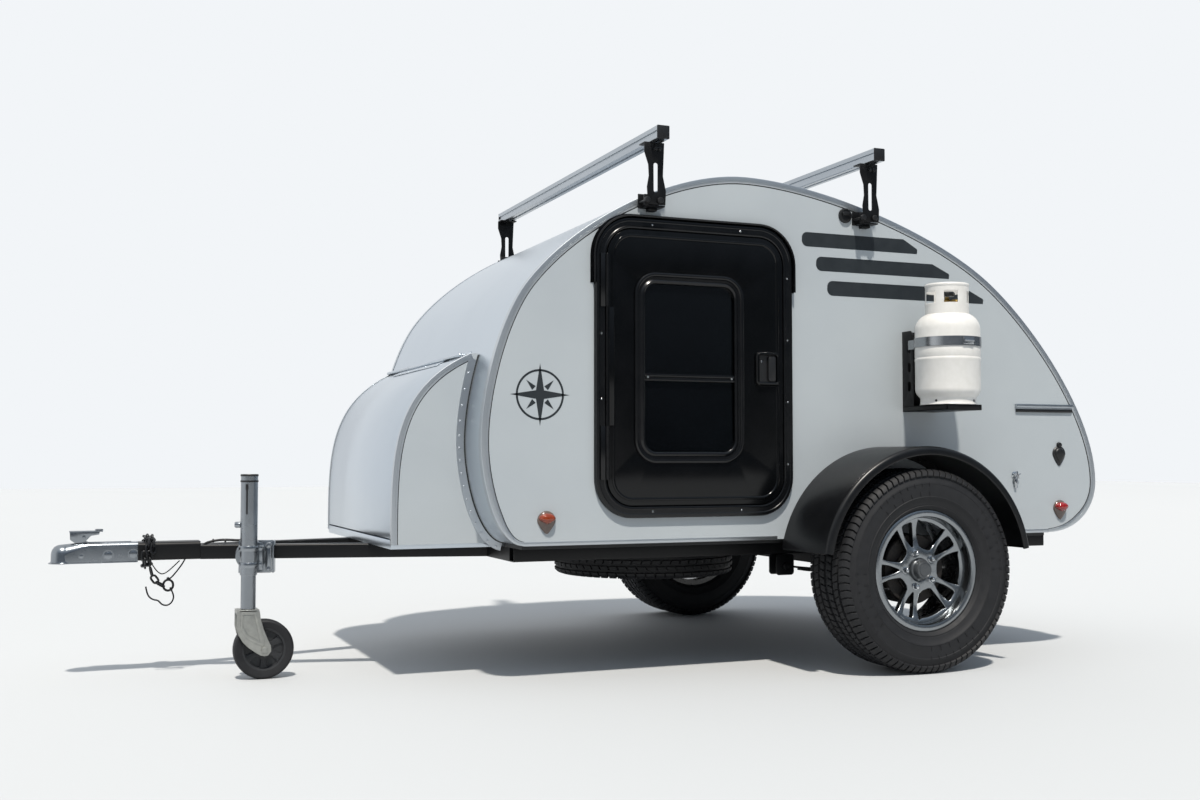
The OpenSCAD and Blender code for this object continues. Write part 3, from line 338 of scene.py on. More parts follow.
def kept(node, material, soft=0.0):
    """A CAD node that keeps its shape: its material, smooth shading and, if asked, rounded edges."""
    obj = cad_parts[node]
    obj.data.materials.clear()
    obj.data.materials.append(material)
    obj.data.shade_smooth()
    weld = obj.modifiers.new("weld", "WELD")
    weld.merge_threshold = 0.02 * MM
    if soft:
        edge = obj.modifiers.new("edge", "BEVEL")
        edge.width, edge.segments, edge.limit_method = soft * MM, 2, "ANGLE"
        edge.angle_limit = math.radians(40)
    split = obj.modifiers.new("split", "EDGE_SPLIT")
    split.split_angle = math.radians(32)
    return obj


ALONG_X = turn(90, "Y")
LEG_ANGLE, LEG_TIP_X, LEG_TIP_Y = 14.4, 2335, 54
leg = moved(square_tube(TUBE, TUBE, TUBE_WALL, 6, 2300), turn(-90, "Y"))
leg = moved(leg, shift(0, -TUBE / 2, TUBE / 2))
leg = moved(leg, shift(LEG_TIP_X, LEG_TIP_Y, FRAME_LOW) @ turn(-LEG_ANGLE, "Z") @ shift(TUBE, 0, 0))
for point, normal in (
    ((LEG_TIP_X, 0, 0), (1, 0, 0)), ((0, 550, 0), (0, 1, 0)), ((0, 0.2, 0), (0, -1, 0)),
):
    bmesh.ops.bisect_plane(
        leg, geom=leg.verts[:] + leg.edges[:] + leg.faces[:], plane_co=point, plane_no=normal,
        clear_outer=True,
    )
    bmesh.ops.triangle_fill(
        leg, use_beauty=True, edges=[e for e in leg.edges if len(e.link_faces) == 1]
    )
piece("drawbar_leg_tubes", leg, powder_coat, replaces=("drawbar_legs",), twin=True)
rail = moved(square_tube(TUBE, TUBE, TUBE_WALL, 6, 2237), shift(-862, 575, FRAME_LOW + 25) @ ALONG_X)
piece("chassis_rail_tubes", rail, powder_coat, replaces=("chassis_rails",), twin=True)
kept("crossmembers", powder_coat)
nose = moved(square_tube(62, 98, 6, 12, 205), shift(2335, 0, FRAME_LOW + 31) @ ALONG_X)
piece("drawbar_nose_box", nose, powder_coat, replaces=("drawbar_nose",))

# ---- Coupling -------------------------------------------------------------------------------
# Pressed steel ball coupling, zinc plated, bolted through the nose section with two large bolts
# and one small one. The hand lever is a folded plate that stands over the ball pocket.
COUPLER_LOW, COUPLER_TOP, COUPLER_HALF, SOCKET_X = 390, 458, 39, 2776

zinc = finish("zinc_plated_steel", 90, ("#8c9196", "#999ea3"), (0.23, 0.3), metallic=1.0,
              detail=1.5)


def rod(r, length, r_end=None, steps=32, soft=0):
    """A round bar or cone along +Z from the origin."""
    part = bmesh.new()
    bmesh.ops.create_cone(
        part, cap_ends=True, segments=steps, radius1=r, radius2=r if r_end is None else r_end,
        depth=length, matrix=shift(0, 0, length / 2),
    )
    return softened(part, soft) if soft else part


def turned(profile, steps=64, degrees=360):
    """A [radius, height] profile turned about the Z axis; the profile closes on itself."""
    part = bmesh.new()
    verts = [part.verts.new((r, 0, z)) for r, z in profile]
    edges = [part.edges.new((a, b)) for a, b in zip(verts, verts[1:] + verts[:1])]
    whole = degrees == 360
    if not whole:
        part.faces.new(verts)
    bmesh.ops.spin(
        part, geom=verts + edges + part.faces[:], cent=(0, 0, 0), axis=(0, 0, 1),
        angle=math.radians(degrees), steps=steps, use_merge=whole,
    )
    bmesh.ops.remove_doubles(part, verts=part.verts, dist=SAME_SPOT)
    bmesh.ops.dissolve_degenerate(part, edges=part.edges, dist=0.001)
    bmesh.ops.recalc_face_normals(part, faces=part.faces)
    return part


def bolt(size, head=0.65, washer=True):
    """A hexagon bolt head on its washer, standing on Z = 0, for a thread of `size`."""
    parts = [moved(rod(size * 0.9, size * head, steps=6, soft=size * 0.06), (0, 0, 1.2))]
    if washer:
        parts.append(rod(size * 1.15, 1.4, steps=24))
    return joined(parts)


def wire(points, thickness, closed=False, smooth=True):
    """A round wire bent through its points."""
    data = bpy.data.curves.new("wire", "CURVE")
    data.dimensions, data.bevel_depth, data.bevel_resolution = "3D", thickness / 2, 3
    data.resolution_u, data.use_fill_caps = 10, not closed
    line = data.splines.new("NURBS" if smooth else "POLY")
    line.points.add(len(points) - 1)
    for point, place in zip(line.points, points):
        point.co = (*place, 1)
    line.use_cyclic_u = closed
    if smooth:
        line.order_u, line.use_endpoint_u = 3, True
    curve = bpy.data.objects.new("wire", data)
    mesh = bpy.data.meshes.new_from_object(curve)
    part = bmesh.new()
    part.from_mesh(mesh)
    bpy.data.objects.remove(curve)
    bpy.data.curves.remove(data)
    bpy.data.meshes.remove(mesh)
    return part


def cut_plate(outline, holes, thick):
    """A plate in X and Y with holes through it, `thick` upwards from Z = 0."""
    part = bmesh.new()
    edges = []
    for loop in (outline, *holes):
        verts = [part.verts.new((x, y, 0)) for x, y in loop]
        edges += [part.edges.new((a, b)) for a, b in zip(verts, verts[1:] + verts[:1])]
    bmesh.ops.triangle_fill(part, use_beauty=True, edges=edges)
    return pulled(part, (0, 0, thick))


def facing(x, y, z):
    """A frame on the left side: X forwards, Y up, Z outwards."""
    return Matrix(((1, 0, 0, x), (0, 0, 1, y), (0, 1, 0, z), (0, 0, 0, 1)))


OUT_LEFT = turn(-90, "X")
body, rings = bmesh.new(), []
for x, top, corner in (
    (2540, 458, 12), (2690, 458, 12), (2716, 457.6, 17), (2742, 456.6, 26), (SOCKET_X, 454.5, 38),
):
    half = [(COUPLER_HALF, COUPLER_LOW)]
    half += arc(corner, range(0, 91, 15), COUPLER_HALF - corner, top - corner)
    verts = [body.verts.new((x, y, z)) for y, z in half + [(-y, z) for y, z in half[::-1]]]
    rings += [body.edges.new((a, b)) for a, b in zip(verts, verts[1:])]
bmesh.ops.bridge_loops(body, edges=rings)
bmesh.ops.recalc_face_normals(body, faces=body.faces)
bmesh.ops.solidify(body, geom=body.faces[:], thickness=4)
dome = turned([
    (25.6, 0), (47, 0), (47, 3), (41, 4.5), (39.5, 10), (39, 34), (36, 46), (29, 56), (18, 62),
    (0, 64.5), (0, 56), (16, 52), (23, 43), (25.6, 30),
], 64)
parts = [body, moved(dome, (SOCKET_X, 0, COUPLER_LOW))]
parts.append(block((2560, 2700), (-7, 7), (COUPLER_TOP - 2, COUPLER_TOP + 2.5), 2))
for side in (1, -1):
    flange = sorted((side * (COUPLER_HALF - 2), side * (COUPLER_HALF + 5)))
    parts.append(block((2543, SOCKET_X), flange, (COUPLER_LOW, COUPLER_LOW + 3.2), 1))
for x, z, size in ((2635, 416, 16), (2555, 418, 16), (2720, 415, 8)):
    for side in (1, -1):
        parts.append(moved(bolt(size), shift(x, side * COUPLER_HALF, z) @ turn(-90 * side, "X")))
piece("coupling_body", joined(parts), zinc, replaces=("coupler_body",))
lever = [moved(slab(107, 46, 3.5, 8, 0.8), (2705.5, 0, 495))]
for y in (-20.5, 20.5):
    cheek = cut_plate([(2712, 458.3), (2740, 458.3), (2756, 470), (2757, 496), (2662, 496), (2664, 486),
                       (2690, 482)], [], 3)
    lever.append(moved(softened(cheek, 0.8), facing(0, y - 1.5, 0)))
lever.append(block((2700, 2740), (-20, 20), (458.3, 462.5), 0.8))
lever.append(moved(rod(5, 60, steps=20, soft=0.8), shift(2712, -30, 478) @ OUT_LEFT))
lever.append(moved(turned([(8, 0), (8, 3), (11, 5), (13, 5), (13, 0)], 24), (2664, 0, 498.5)))
piece("coupling_lever", joined(lever), zinc, replaces=("coupler_lever",))

# ---- Safety chain ---------------------------------------------------------------------------
# Welded short-link chain, black coated, wound twice round the nose section, with its tail, a
# bow shackle and a bent wire hook hanging below. Two stiff coated loops tie it to the drawbar.
LINK_WIRE, LINK_LEN, LINK_W = 7.5, 38, 26

black_chain = finish("black_coated_chain", 2.5, ("#0d0e10", "#1b1d21"), (0.28, 0.45), 0.06,
                     metallic=0.4)


def link():
    """One chain link along X, about the origin."""
    half, end = (LINK_W - LINK_WIRE) / 2, (LINK_LEN - LINK_W) / 2
    points = [(x + math.copysign(end, x), y, 0) for x, y in arc(half, range(15, 375, 30))]
    return wire(points, LINK_WIRE, closed=True)


def chain(points):
    """Links along a line of points, each a quarter turn on from the one before."""
    parts = []
    for k, (a, b) in enumerate(zip(points, points[1:])):
        a, b = Vector(a), Vector(b)
        aim = (b - a).to_track_quat("X", "Z").to_matrix().to_4x4()
        parts.append(moved(link(), Matrix.Translation((a + b) / 2) @ aim @ turn(90 * k + 20, "X")))
    return parts


def loop_round(x, w, h, z, count, lean):
    """Points of one turn of chain round the nose section."""
    points = []
    for k, (c, s) in enumerate(arc(1, [360 * k / count for k in range(count + 1)])):
        reach = max(abs(c), abs(s)) ** 0.55
        points.append((x + lean * k / count, w / 2 * c / reach, z + h / 2 * s / reach))
    return points


parts = chain(loop_round(2492, 122, 96, 424, 15, 12)) + chain(loop_round(2508, 124, 100, 424, 15, 12))
parts += chain([(2500, 46, 372), (2493, 42, 342), (2476, 38, 318), (2456, 36, 306)])
ring = [(2440 + 17 * x, 36, 308 + 19 * z) for x, z in arc(1, range(0, 360, 30))]
parts.append(wire(ring, 8, closed=True))
parts.append(moved(rod(5.5, 30, steps=20, soft=1), shift(2440, 24, 330) @ OUT_LEFT))
hook = [(2434, 36, 300), (2420, 37, 276), (2424, 38, 252), (2440, 39, 238), (2460, 40, 242),
        (2472, 40, 258), (2488, 40, 260), (2502, 40, 270), (2510, 40, 288), (2513, 39, 306)]
parts.append(wire(hook, 5.5))
parts.append(wire([(2384, 40, 400), (2392, 44, 384), (2412, 44, 356), (2430, 40, 334), (2440, 37, 326)], 5))
parts.append(wire([(2496, 50, 386), (2484, 50, 364), (2464, 46, 346), (2446, 42, 352), (2424, 44, 372),
                   (2404, 46, 392)], 4))
piece("safety_chain_links", joined(parts), black_chain, replaces=("safety_chain",))

# ---- Trailer lead ---------------------------------------------------------------------------
# The parked lead: a short arc of round PVC cable over the left drawbar leg, from its gland to
# the rubber boot of the plug socket, held by two clip rings.
cable_rubber = finish("pvc_cable", 4, ("#121315", "#191a1d"), (0.5, 0.62), 0.05)
lead = [(2334, 26, 430), (2322, 30, 447), (2300, 37, 455), (2270, 44, 460), (2240, 52, 460),
        (2214, 58, 458), (2196, 64, 458)]
parts = [wire(lead, 9)]
parts.append(moved(
    turned([(0, 0), (6, 0), (7.5, 6), (7.5, 9), (9, 11), (9, 14), (11, 17), (11, 21), (12.5, 24),
            (12.5, 42), (11, 44), (0, 44)], 28),
    shift(2204, 62, 458) @ turn(-LEG_ANGLE, "Z") @ turn(-90, "Y"),
))
for x, y in ((2290, 39), (2250, 49)):
    parts.append(moved(turned([(4.6, 0), (6.4, 0), (6.4, 5), (4.6, 5)], 20),
                       shift(x, y, 457.5) @ turn(-LEG_ANGLE, "Z") @ ALONG_X))
piece("trailer_lead", joined(parts), cable_rubber, replaces=("plug_lead",))

# ---- Axle and springs -----------------------------------------------------------------------
# Square beam axle on three-leaf springs, hung under the rails in folded hangers. U-bolts hold
# the beam to the springs. Rolled spring steel with a worn black paint.
AXLE_Z, AXLE_HALF, SPRING_X, RAIL_Y, SPRING_W, SPRING_BEND = 355, 818, 330, 575, 45, 26
spring_paint = finish("painted_spring_steel", 12, ("#121315", "#201f1d"), (0.42, 0.65), 0.15,
                      metallic=0.2)
parts = [block((-25, 25), (-AXLE_HALF - 2, AXLE_HALF + 2), (AXLE_Z - 25, AXLE_Z + 25), 5)]
for side in (1, -1):
    parts.append(moved(rod(17, 104, steps=32), shift(0, side * AXLE_HALF, AXLE_Z) @ turn(-90 * side, "X")))
    parts.append(moved(rod(120, 4.5, steps=64, soft=1.2),
                       shift(0, side * (AXLE_HALF + 1), AXLE_Z) @ turn(-90 * side, "X")))
piece("axle_beam_tube", joined(parts), spring_paint, replaces=("axle_beam",))


def spring_leaf(reach, top, thick):
    """One leaf: a strip bent to a flat arc, from -reach to +reach along X."""
    part = block((-reach, reach), (RAIL_Y - SPRING_W / 2, RAIL_Y + SPRING_W / 2), (top - thick, top))
    long_edges = [e for e in part.edges if abs((e.verts[0].co - e.verts[1].co).x) > 1]
    bmesh.ops.subdivide_edges(part, edges=long_edges, cuts=15, use_grid_fill=True)
    for v in part.verts:
        v.co.z += SPRING_BEND * (v.co.x / SPRING_X) ** 2
    return softened(part, 1.2, angle=40)


spring_top = AXLE_Z - 25.3
parts = [spring_leaf(reach, spring_top - 7.2 * k, 7) for k, reach in enumerate((SPRING_X, 250, 165))]
for x in (-150, 150):
    z = spring_top - 15 + SPRING_BEND * (x / SPRING_X) ** 2
    parts.append(block((x - 12, x + 12), (RAIL_Y - 25, RAIL_Y + 25), (z - 4, z + 17), 1))
for x in (-SPRING_X, SPRING_X):
    at_eye = shift(x, RAIL_Y - SPRING_W / 2, spring_top + 21) @ OUT_LEFT
    parts.append(moved(rod(14, SPRING_W, steps=28), at_eye))
piece("leaf_spring_packs", joined(parts), spring_paint, replaces=("leaf_springs",),
      twin=True)
parts = []
for x in (-SPRING_X, SPRING_X):
    for y in (-25, 25):
        plate = moved(slab(74, 76, 5, 12, 1), turn(90, "X"))
        parts.append(moved(plate, (x, RAIL_Y + y + 2.5, 356)))
    for side in (1, -1):
        at_eye = shift(x, RAIL_Y + side * 27.5, spring_top + 21) @ turn(-90 * side, "X")
        parts.append(moved(bolt(14), at_eye))
parts.append(moved(slab(90, 72, 8, 6, 1.2), (0, RAIL_Y, spring_top - 30)))
for y in (-29, 29):
    bow = [(-31, RAIL_Y + y, spring_top - 40), (-31, RAIL_Y + y, AXLE_Z + 20),
           (-29, RAIL_Y + y, AXLE_Z + 31), (29, RAIL_Y + y, AXLE_Z + 31),
           (31, RAIL_Y + y, AXLE_Z + 20), (31, RAIL_Y + y, spring_top - 40)]
    parts.append(wire(bow, 9))
    for x in (-31, 31):
        parts.append(moved(bolt(9, 0.9), shift(x, RAIL_Y + y, spring_top - 30) @ turn(180, "X")))
piece("spring_hanger_set", joined(parts), powder_coat, replaces=("spring_hangers",),
      twin=True)

# ---- Tyres ----------------------------------------------------------------------------------
# All-terrain radial tyres, 235/75R15, with four rows of blocks, lugged shoulders and a plain
# ribbed side wall. The spare under the floor is a narrower one. Rubber with road dust in it.
TYRE_R, BEAD_R, RIM_R, TYRE_Y = 355, 194.5, 210.5, 909

tyre_rubber = finish("tyre_rubber", 26, ("#131417", "#1b1c1f"), (0.52, 0.76), detail=8.0,
                     Specular_IOR_Level=0.4)
grit = add_node(tyre_rubber, "TexNoise", {"Scale": 1 / (1.2 * MM), "Detail": 3.0})
relief(tyre_rubber, grit.outputs["Fac"], 0.12, 0.7)


def tyre(width, blocks=84):
    """A tyre about the Z axis, with its tread blocks and side wall ribs."""
    w, tall = width / 2, TYRE_R - BEAD_R
    crown = [(TYRE_R - 8.5, w * t) for t in (0.0, 0.055, 0.31, 0.37, 0.62, 0.68)]
    shoulder = [(TYRE_R - 10, w * 0.80), (TYRE_R - 17, w * 0.885), (TYRE_R - 31, w * 0.945)]
    wall = [
        (TYRE_R - 0.27 * tall, w * 0.965), (TYRE_R - 0.29 * tall, w * 0.985),
        (TYRE_R - 0.33 * tall, w * 0.99), (TYRE_R - 0.34 * tall, w * 0.98),
        (TYRE_R - 0.5 * tall, w * 0.992), (TYRE_R - 0.60 * tall, w * 0.985),
        (TYRE_R - 0.61 * tall, w * 0.995), (TYRE_R - 0.64 * tall, w * 0.985),
        (TYRE_R - 0.65 * tall, w * 0.968), (TYRE_R - 0.76 * tall, w * 0.93),
        (TYRE_R - 0.80 * tall, w * 0.905), (TYRE_R - 0.81 * tall, w * 0.915),
        (TYRE_R - 0.84 * tall, w * 0.895), (RIM_R + 6, w * 0.84), (RIM_R + 1.5, w * 0.80),
        (RIM_R - 3, w * 0.785), (BEAD_R, w * 0.775),
    ]
    half = crown + shoulder + wall
    inside = [(BEAD_R, w * 0.66), (TYRE_R - 0.5 * tall, w * 0.9), (TYRE_R - 24, w * 0.7)]
    section = half + inside + [(r, -z) for r, z in inside[::-1]] + [(r, -z) for r, z in half[:0:-1]]
    part = turned(section, blocks * 2)
    step = math.pi / blocks
    part.faces.ensure_lookup_table()

    def at(face):
        c = face.calc_center_median()
        return math.hypot(c.x, c.y), c.z, round(math.atan2(c.y, c.x) / step - 0.5)

    odd, even = [], []
    for face in part.faces:
        r, z, k = at(face)
        share = abs(z) / w
        if r > TYRE_R - 9.5 and (0.06 < share < 0.30 or 0.38 < share < 0.61):
            k += (share > 0.3) + (z > 0)
        elif r > TYRE_R - 32 and 0.68 < share < 0.95:
            k += z > 0
        else:
            continue
        (even if k // 2 % 2 else odd).append(face)
    for group in (odd, even):
        for inward, up in ((1.6, 0), (1.0, 7.0), (0.9, 0.8)):
            bmesh.ops.inset_region(part, faces=group, thickness=inward, depth=up, use_even_offset=True)
    for v in part.verts:
        r = math.hypot(v.co.x, v.co.y)
        if r > TYRE_R - 34:
            lean = 0.028 * math.sin(v.co.z / w * 5.2) * min(1.0, (r - TYRE_R + 34) / 16)
            x, y = v.co.x, v.co.y
            c, s = math.cos(lean), math.sin(lean)
            v.co.x, v.co.y = x * c - y * s, x * s + y * c
            if r > TYRE_R:
                v.co.x, v.co.y = v.co.x * TYRE_R / r, v.co.y * TYRE_R / r
    return part


def at_wheel(side):
    return shift(0, side * TYRE_Y, AXLE_Z) @ turn(-90 * side, "X")


for side, label in ((1, "left"), (-1, "right")):
    parts = [tyre(235)]
    for turns, r, z in ((60, 300, 116.6), (44, 268, 117.6)):
        for k in range(turns):
            if k % (turns // 4) < turns // 7:
                rib = slab(1.8, 15, 1.6, 0, 0.4)
                parts.append(moved(rib, turn(360 * k / turns, "Z") @ shift(0, r, z - 0.8)))
    piece("wheel_tyre_" + label, moved(joined(parts), at_wheel(side)), tyre_rubber, "wheel_" + label,
          ("tyre_" + label,), angle=38)
at_spare = shift(630, 0, 369)
piece("spare_wheel_tyre", moved(tyre(148, 60), at_spare), tyre_rubber,
      replaces=("spare_tyre",), angle=38)

# ---- Wheels ---------------------------------------------------------------------------------
# Cast 15 inch aluminium wheels with five pairs of curved spokes. Spoke faces and lip are machined
# bright under lacquer, pockets and barrel are gloss black. Chromed nuts and a push-in cap.
DISC_Z, DISC_T = 52, 22
LUGS = arc(60.3, range(0, 360, 72))

machined = finish("machined_aluminium", 150, ("#8a8e91", "#95999c"), (0.23, 0.29),
                  metallic=1.0, detail=1.0)
wheel_black = finish("gloss_black_wheel_paint", 30, ("#0b0c0d", "#161718"), (0.18, 0.34), 0.02,
                     Coat_Weight=0.6)
chrome = finish("chrome_plate", 20, ("#b2b5b8", "#c2c5c8"), (0.08, 0.18), 0.01, metallic=1.0)
cap_grey = finish("satin_grey_cap_plastic", 20, ("#505356", "#5a5d60"), (0.3, 0.4), 0.02,
                  metallic=0.6)
drum_iron = finish("cast_iron_drum", 6, ("#242424", "#3a3532"), (0.5, 0.75), 0.3, metallic=0.5)


def ring_points(r, count, x=0, y=0):
    """Points of a full circle."""
    return arc(r, [360 * k / count for k in range(count)], x, y)


def opening(angle, inner, outer):
    """A wheel opening with curved sides, about a direction in degrees; widths are half widths."""
    (r0, w0), (r1, w1) = inner, outer
    steps, points = 7, []
    for side in (-1, 1):
        run = []
        for k in range(steps + 1):
            t = k / steps
            run.append((r0 + (r1 - r0) * t, side * (w0 + (w1 - w0) * t + 4.5 * math.sin(math.pi * t))))
        points += run if side < 0 else run[::-1]
    cap = [(math.sqrt(max(0, r1 ** 2 - (w1 * s) ** 2)) + 5, w1 * s) for s in (-0.75, -0.4, 0, 0.4, 0.75)]
    loop = points[: steps + 1] + cap + points[steps + 1:] + [(r0 - 5, w0 * 0.5), (r0 - 5, -w0 * 0.5)]
    return spun(loop, angle)


def wheel_rim():
    """Lip, barrel and spoke disc about Z, with the outside towards +Z. Two materials."""
    barrel = turned([
        (BEAD_R, 97), (BEAD_R + 7, 97.5), (RIM_R - 2, 96), (RIM_R, 94.5), (RIM_R, 91.8), (RIM_R - 3, 91.8),
        (BEAD_R - 0.5, 91), (BEAD_R - 1, 82), (BEAD_R - 7, 74), (BEAD_R - 7, -74), (BEAD_R - 1, -82),
        (BEAD_R - 0.5, -91.8), (RIM_R, -92), (RIM_R, -98), (BEAD_R - 6, -98), (BEAD_R - 12, -84),
        (BEAD_R - 14, 0), (BEAD_R - 13, 40), (BEAD_R - 12, 62), (BEAD_R - 9, 76), (BEAD_R - 8.5, 90),
        (BEAD_R - 6, 95),
    ], 96)
    for face in barrel.faces:
        face.material_index = 0 if face.calc_center_median().z > 44 else 1
    holes = [ring_points(39.5, 40)]
    for k, lug in enumerate(LUGS):
        holes += [opening(72 * k, (88, 5), (164, 21)), opening(72 * k + 36, (80, 25), (164, 60)),
                  ring_points(10, 20, *lug)]
    disc = cut_plate(ring_points(BEAD_R - 12, 120), holes, DISC_T)
    bmesh.ops.recalc_face_normals(disc, faces=disc.faces)
    for face in disc.faces:
        face.material_index = 0 if face.normal.z > 0.5 else 1
    rims = [
        e for e in disc.edges
        if len(e.link_faces) == 2 and e.calc_face_angle(0) > 0.5 and min(v.co.z for v in e.verts) > 1
    ]
    bmesh.ops.bevel(disc, geom=rims, offset=3.0, segments=3, profile=0.5, affect="EDGES", material=0)
    for v in disc.verts:
        r = math.hypot(v.co.x, v.co.y)
        t = min(1.0, max(0.0, (r - 70) / 112))
        v.co.z += DISC_Z - DISC_T - 10 * math.sin(math.pi * t) + 6 * t
        if v.co.z > DISC_Z - 8 and r < 72:
            v.co.z += 1.5
    return joined([barrel, disc])


def wheel_hub():
    """The hub with its flange, and the drum round it."""
    hub = turned([
        (17.5, -79), (36, -79), (38, -77), (38, 18), (78, 18), (78, 30), (30, 30), (17.5, 24),
    ], 64)
    drum = turned([
        (116, -76), (122, -78), (124, -75), (124, 12), (120, 18), (40, 18), (40, 11), (116, 11),
    ], 72)
    return joined([hub, drum])


def wheel_nuts():
    """Chromed nuts on their conical seats."""
    parts = []
    for lug in LUGS:
        nut = turned([(0, 44), (8.8, 44), (8.8, 50), (9.6, 51), (9.6, 62), (8.8, 66), (6.5, 69),
                      (3, 70.5), (0, 71)], 6)
        seat = turned([(8, 44), (10, 44), (11.5, 53.5), (9.5, 54.5), (8, 52)], 24)
        parts += [moved(nut, (*lug, 0)), moved(seat, (*lug, 0))]
    return joined(parts)


for side, label in ((1, "left"), (-1, "right")):
    wheel = "wheel_" + label
    piece("wheel_rim_" + label, moved(wheel_rim(), at_wheel(side)), [machined, wheel_black], wheel,
          ("rim_" + label,), angle=35)
    piece("wheel_hub_" + label, moved(wheel_hub(), at_wheel(side)), drum_iron, wheel,
          ("hub_" + label,))
    piece("wheel_nuts_" + label, moved(wheel_nuts(), at_wheel(side)), chrome, wheel)
    cap = turned([
        (0, 46), (39, 46), (39, 54), (36.5, 58), (33, 60), (31, 78), (28, 82), (24, 83), (23, 82),
        (21, 82), (20, 83.5), (0, 84),
    ], 56)
    piece("wheel_centre_cap_" + label, moved(cap, at_wheel(side)), cap_grey, wheel)
    valve = joined([rod(4.5, 26, 3, 16), moved(rod(3.6, 9, steps=16, soft=0.6), (0, 0, 26))])
    valve = moved(valve, at_wheel(side) @ turn(20, "Z") @ shift(BEAD_R - 16, 0, 60) @ turn(-18, "Y"))
    piece("tyre_valve_" + label, valve, cable_rubber, wheel)

# Plain black steel rim of the spare, with round holes, and the plate and rod that clamp it up.
spare = turned([
    (BEAD_R - 0.5, 58), (RIM_R - 2, 58.5), (RIM_R, 60), (RIM_R, 63), (RIM_R - 3, 64), (BEAD_R - 8, 63),
    (BEAD_R - 14, 10), (BEAD_R - 14, -58), (BEAD_R - 8, -63), (RIM_R, -64), (RIM_R, -58.5),
    (BEAD_R - 0.5, -58), (BEAD_R - 8, -40), (BEAD_R - 9, 40),
], 96)
holes = [ring_points(39.5, 32)]
holes += [ring_points(20, 20, *at) for at in arc(128, range(0, 360, 36))]
holes += [ring_points(7.5, 16, *at) for at in spun(LUGS, 18)]
disc = softened(cut_plate(ring_points(BEAD_R - 11, 96), holes, 5), 1.0)
for v in disc.verts:
    r = math.hypot(v.co.x, v.co.y)
    v.co.z += -8 * max(0.0, math.cos((r - 95) / 60)) - 1
piece("spare_wheel_rim", moved(joined([spare, disc]), at_spare), wheel_black,
      replaces=("spare_rim",))
clamp = [moved(slab(60, 160, 6, 8, 1), (0, 0, -12)), moved(rod(8, 96, steps=24), (0, 0, -20)),
         moved(bolt(17, 0.7), shift(0, 0, -12) @ turn(180, "X"))]
piece("spare_wheel_clamp", moved(joined(clamp), at_spare), powder_coat,
      replaces=("spare_carrier",))

# ---- Side walls -----------------------------------------------------------------------------
# Flat aluminium composite sheets, satin pale grey, with the door openings cut through. The paint
# has a fine orange peel and a little road dust towards the bottom edge.
SIDE_Y, INSIDE_Y, WALL = 745, 720, 25

white_panel = finish("satin_pale_grey_composite", 420, ("#a6adb2", "#adb4b8"), (0.34, 0.44),
                     detail=6.0, Coat_Weight=0.1, Coat_Roughness=0.25)
peel = add_node(white_panel, "TexNoise", {"Scale": 1 / (2.6 * MM), "Detail": 2.0})
relief(white_panel, peel.outputs["Fac"], 0.035, 0.5)
speck = add_node(white_panel, "TexNoise", {"Scale": 60.0, "Detail": 8.0})
laid_over(white_panel, "#8b8374", 0.46, 0.62, 0.1, speck.outputs["Fac"])
for node in ("side_wall_left", "side_wall_right"):
    kept(node, white_panel)

# ---- Roof, front and hatch skin -------------------------------------------------------------
# One teardrop outline sets the roof shell, the hatch and the rear valance: 25 mm sandwich with a
# satin aluminium sheet outside, which shows faint oil-canning. The outline is six smooth spans.
SHELL, HATCH_U, HATCH_END, HATCH_Y = 25, 3.585, 5.42, 712
KNOTS = [  # x, z, heading, pull before, pull after
    (1389, 460, 0, 0, 96), (1535, 800, 90, 126, 157), (1376, 1329, 128, 160, 279),
    (567, 1737, 180, 276, 294), (-452, 1440, 213, 311, 259), (-995, 656, 270, 272, 106),
    (-760, 460, 360, 142, 0),
]

satin_sheet = finish("satin_aluminium_sheet", 700, ("#bfc7cf", "#c8d0d7"), (0.26, 0.34),
                     metallic=1.0, detail=3.0)
waves = add_node(satin_sheet, "TexNoise", {"Scale": 4.0, "Detail": 1.0})
brush = add_node(satin_sheet, "TexNoise", {"Scale": 1 / (3 * MM), "Detail": 2.0})
both = add_node(
    satin_sheet, "Math", {"operation": "MULTIPLY_ADD", 1: 0.006},
    {0: brush.outputs["Fac"], 2: waves.outputs["Fac"]},
)
relief(satin_sheet, both.outputs["Value"], 3.5)


def bend(start, heading0, pull0, end, heading1, pull1, t, inset):
    """The point at t on a smooth span, moved in by an inset, and the span's direction there."""
    a, d = Vector(start), Vector(end)
    b, c = a + Vector(arc(pull0, [heading0])[0]), d - Vector(arc(pull1, [heading1])[0])
    s = 1 - t
    point = s ** 3 * a + 3 * t * s * s * b + 3 * t * t * s * c + t ** 3 * d
    way = (s * s * (b - a) + 2 * t * s * (c - b) + t * t * (d - c)).normalized()
    return point + inset * Vector((-way.y, way.x)), way


def outline_at(u, inset=0.0):
    """The point at u on the teardrop outline, moved in by an inset, and the outline's direction."""
    i = min(int(u), 5)
    (x0, z0, heading0, _, pull0), (x1, z1, heading1, pull1, _) = KNOTS[i : i + 2]
    return bend((x0, z0), heading0, pull0, (x1, z1), heading1, pull1, u - i, inset)


def outline(start, end, inset=0.0, step=0.04):
    """Points along the outline from start to end."""
    count = max(2, round((end - start) / step))
    return [outline_at(start + (end - start) * k / count, inset)[0] for k in range(count + 1)]


def across(points, y0, y1):
    """A drawing in X and Z, pulled out across the trailer from y0 to y1."""
    part = bmesh.new()
    part.faces.new([part.verts.new((x, y0, z)) for x, z in points])
    return pulled(part, (0, y1 - y0, 0))


def shell(start, end, half):
    """A stretch of the skin, from the left side to the right."""
    return across(outline(start, end) + outline(start, end, SHELL)[::-1], -half, half)


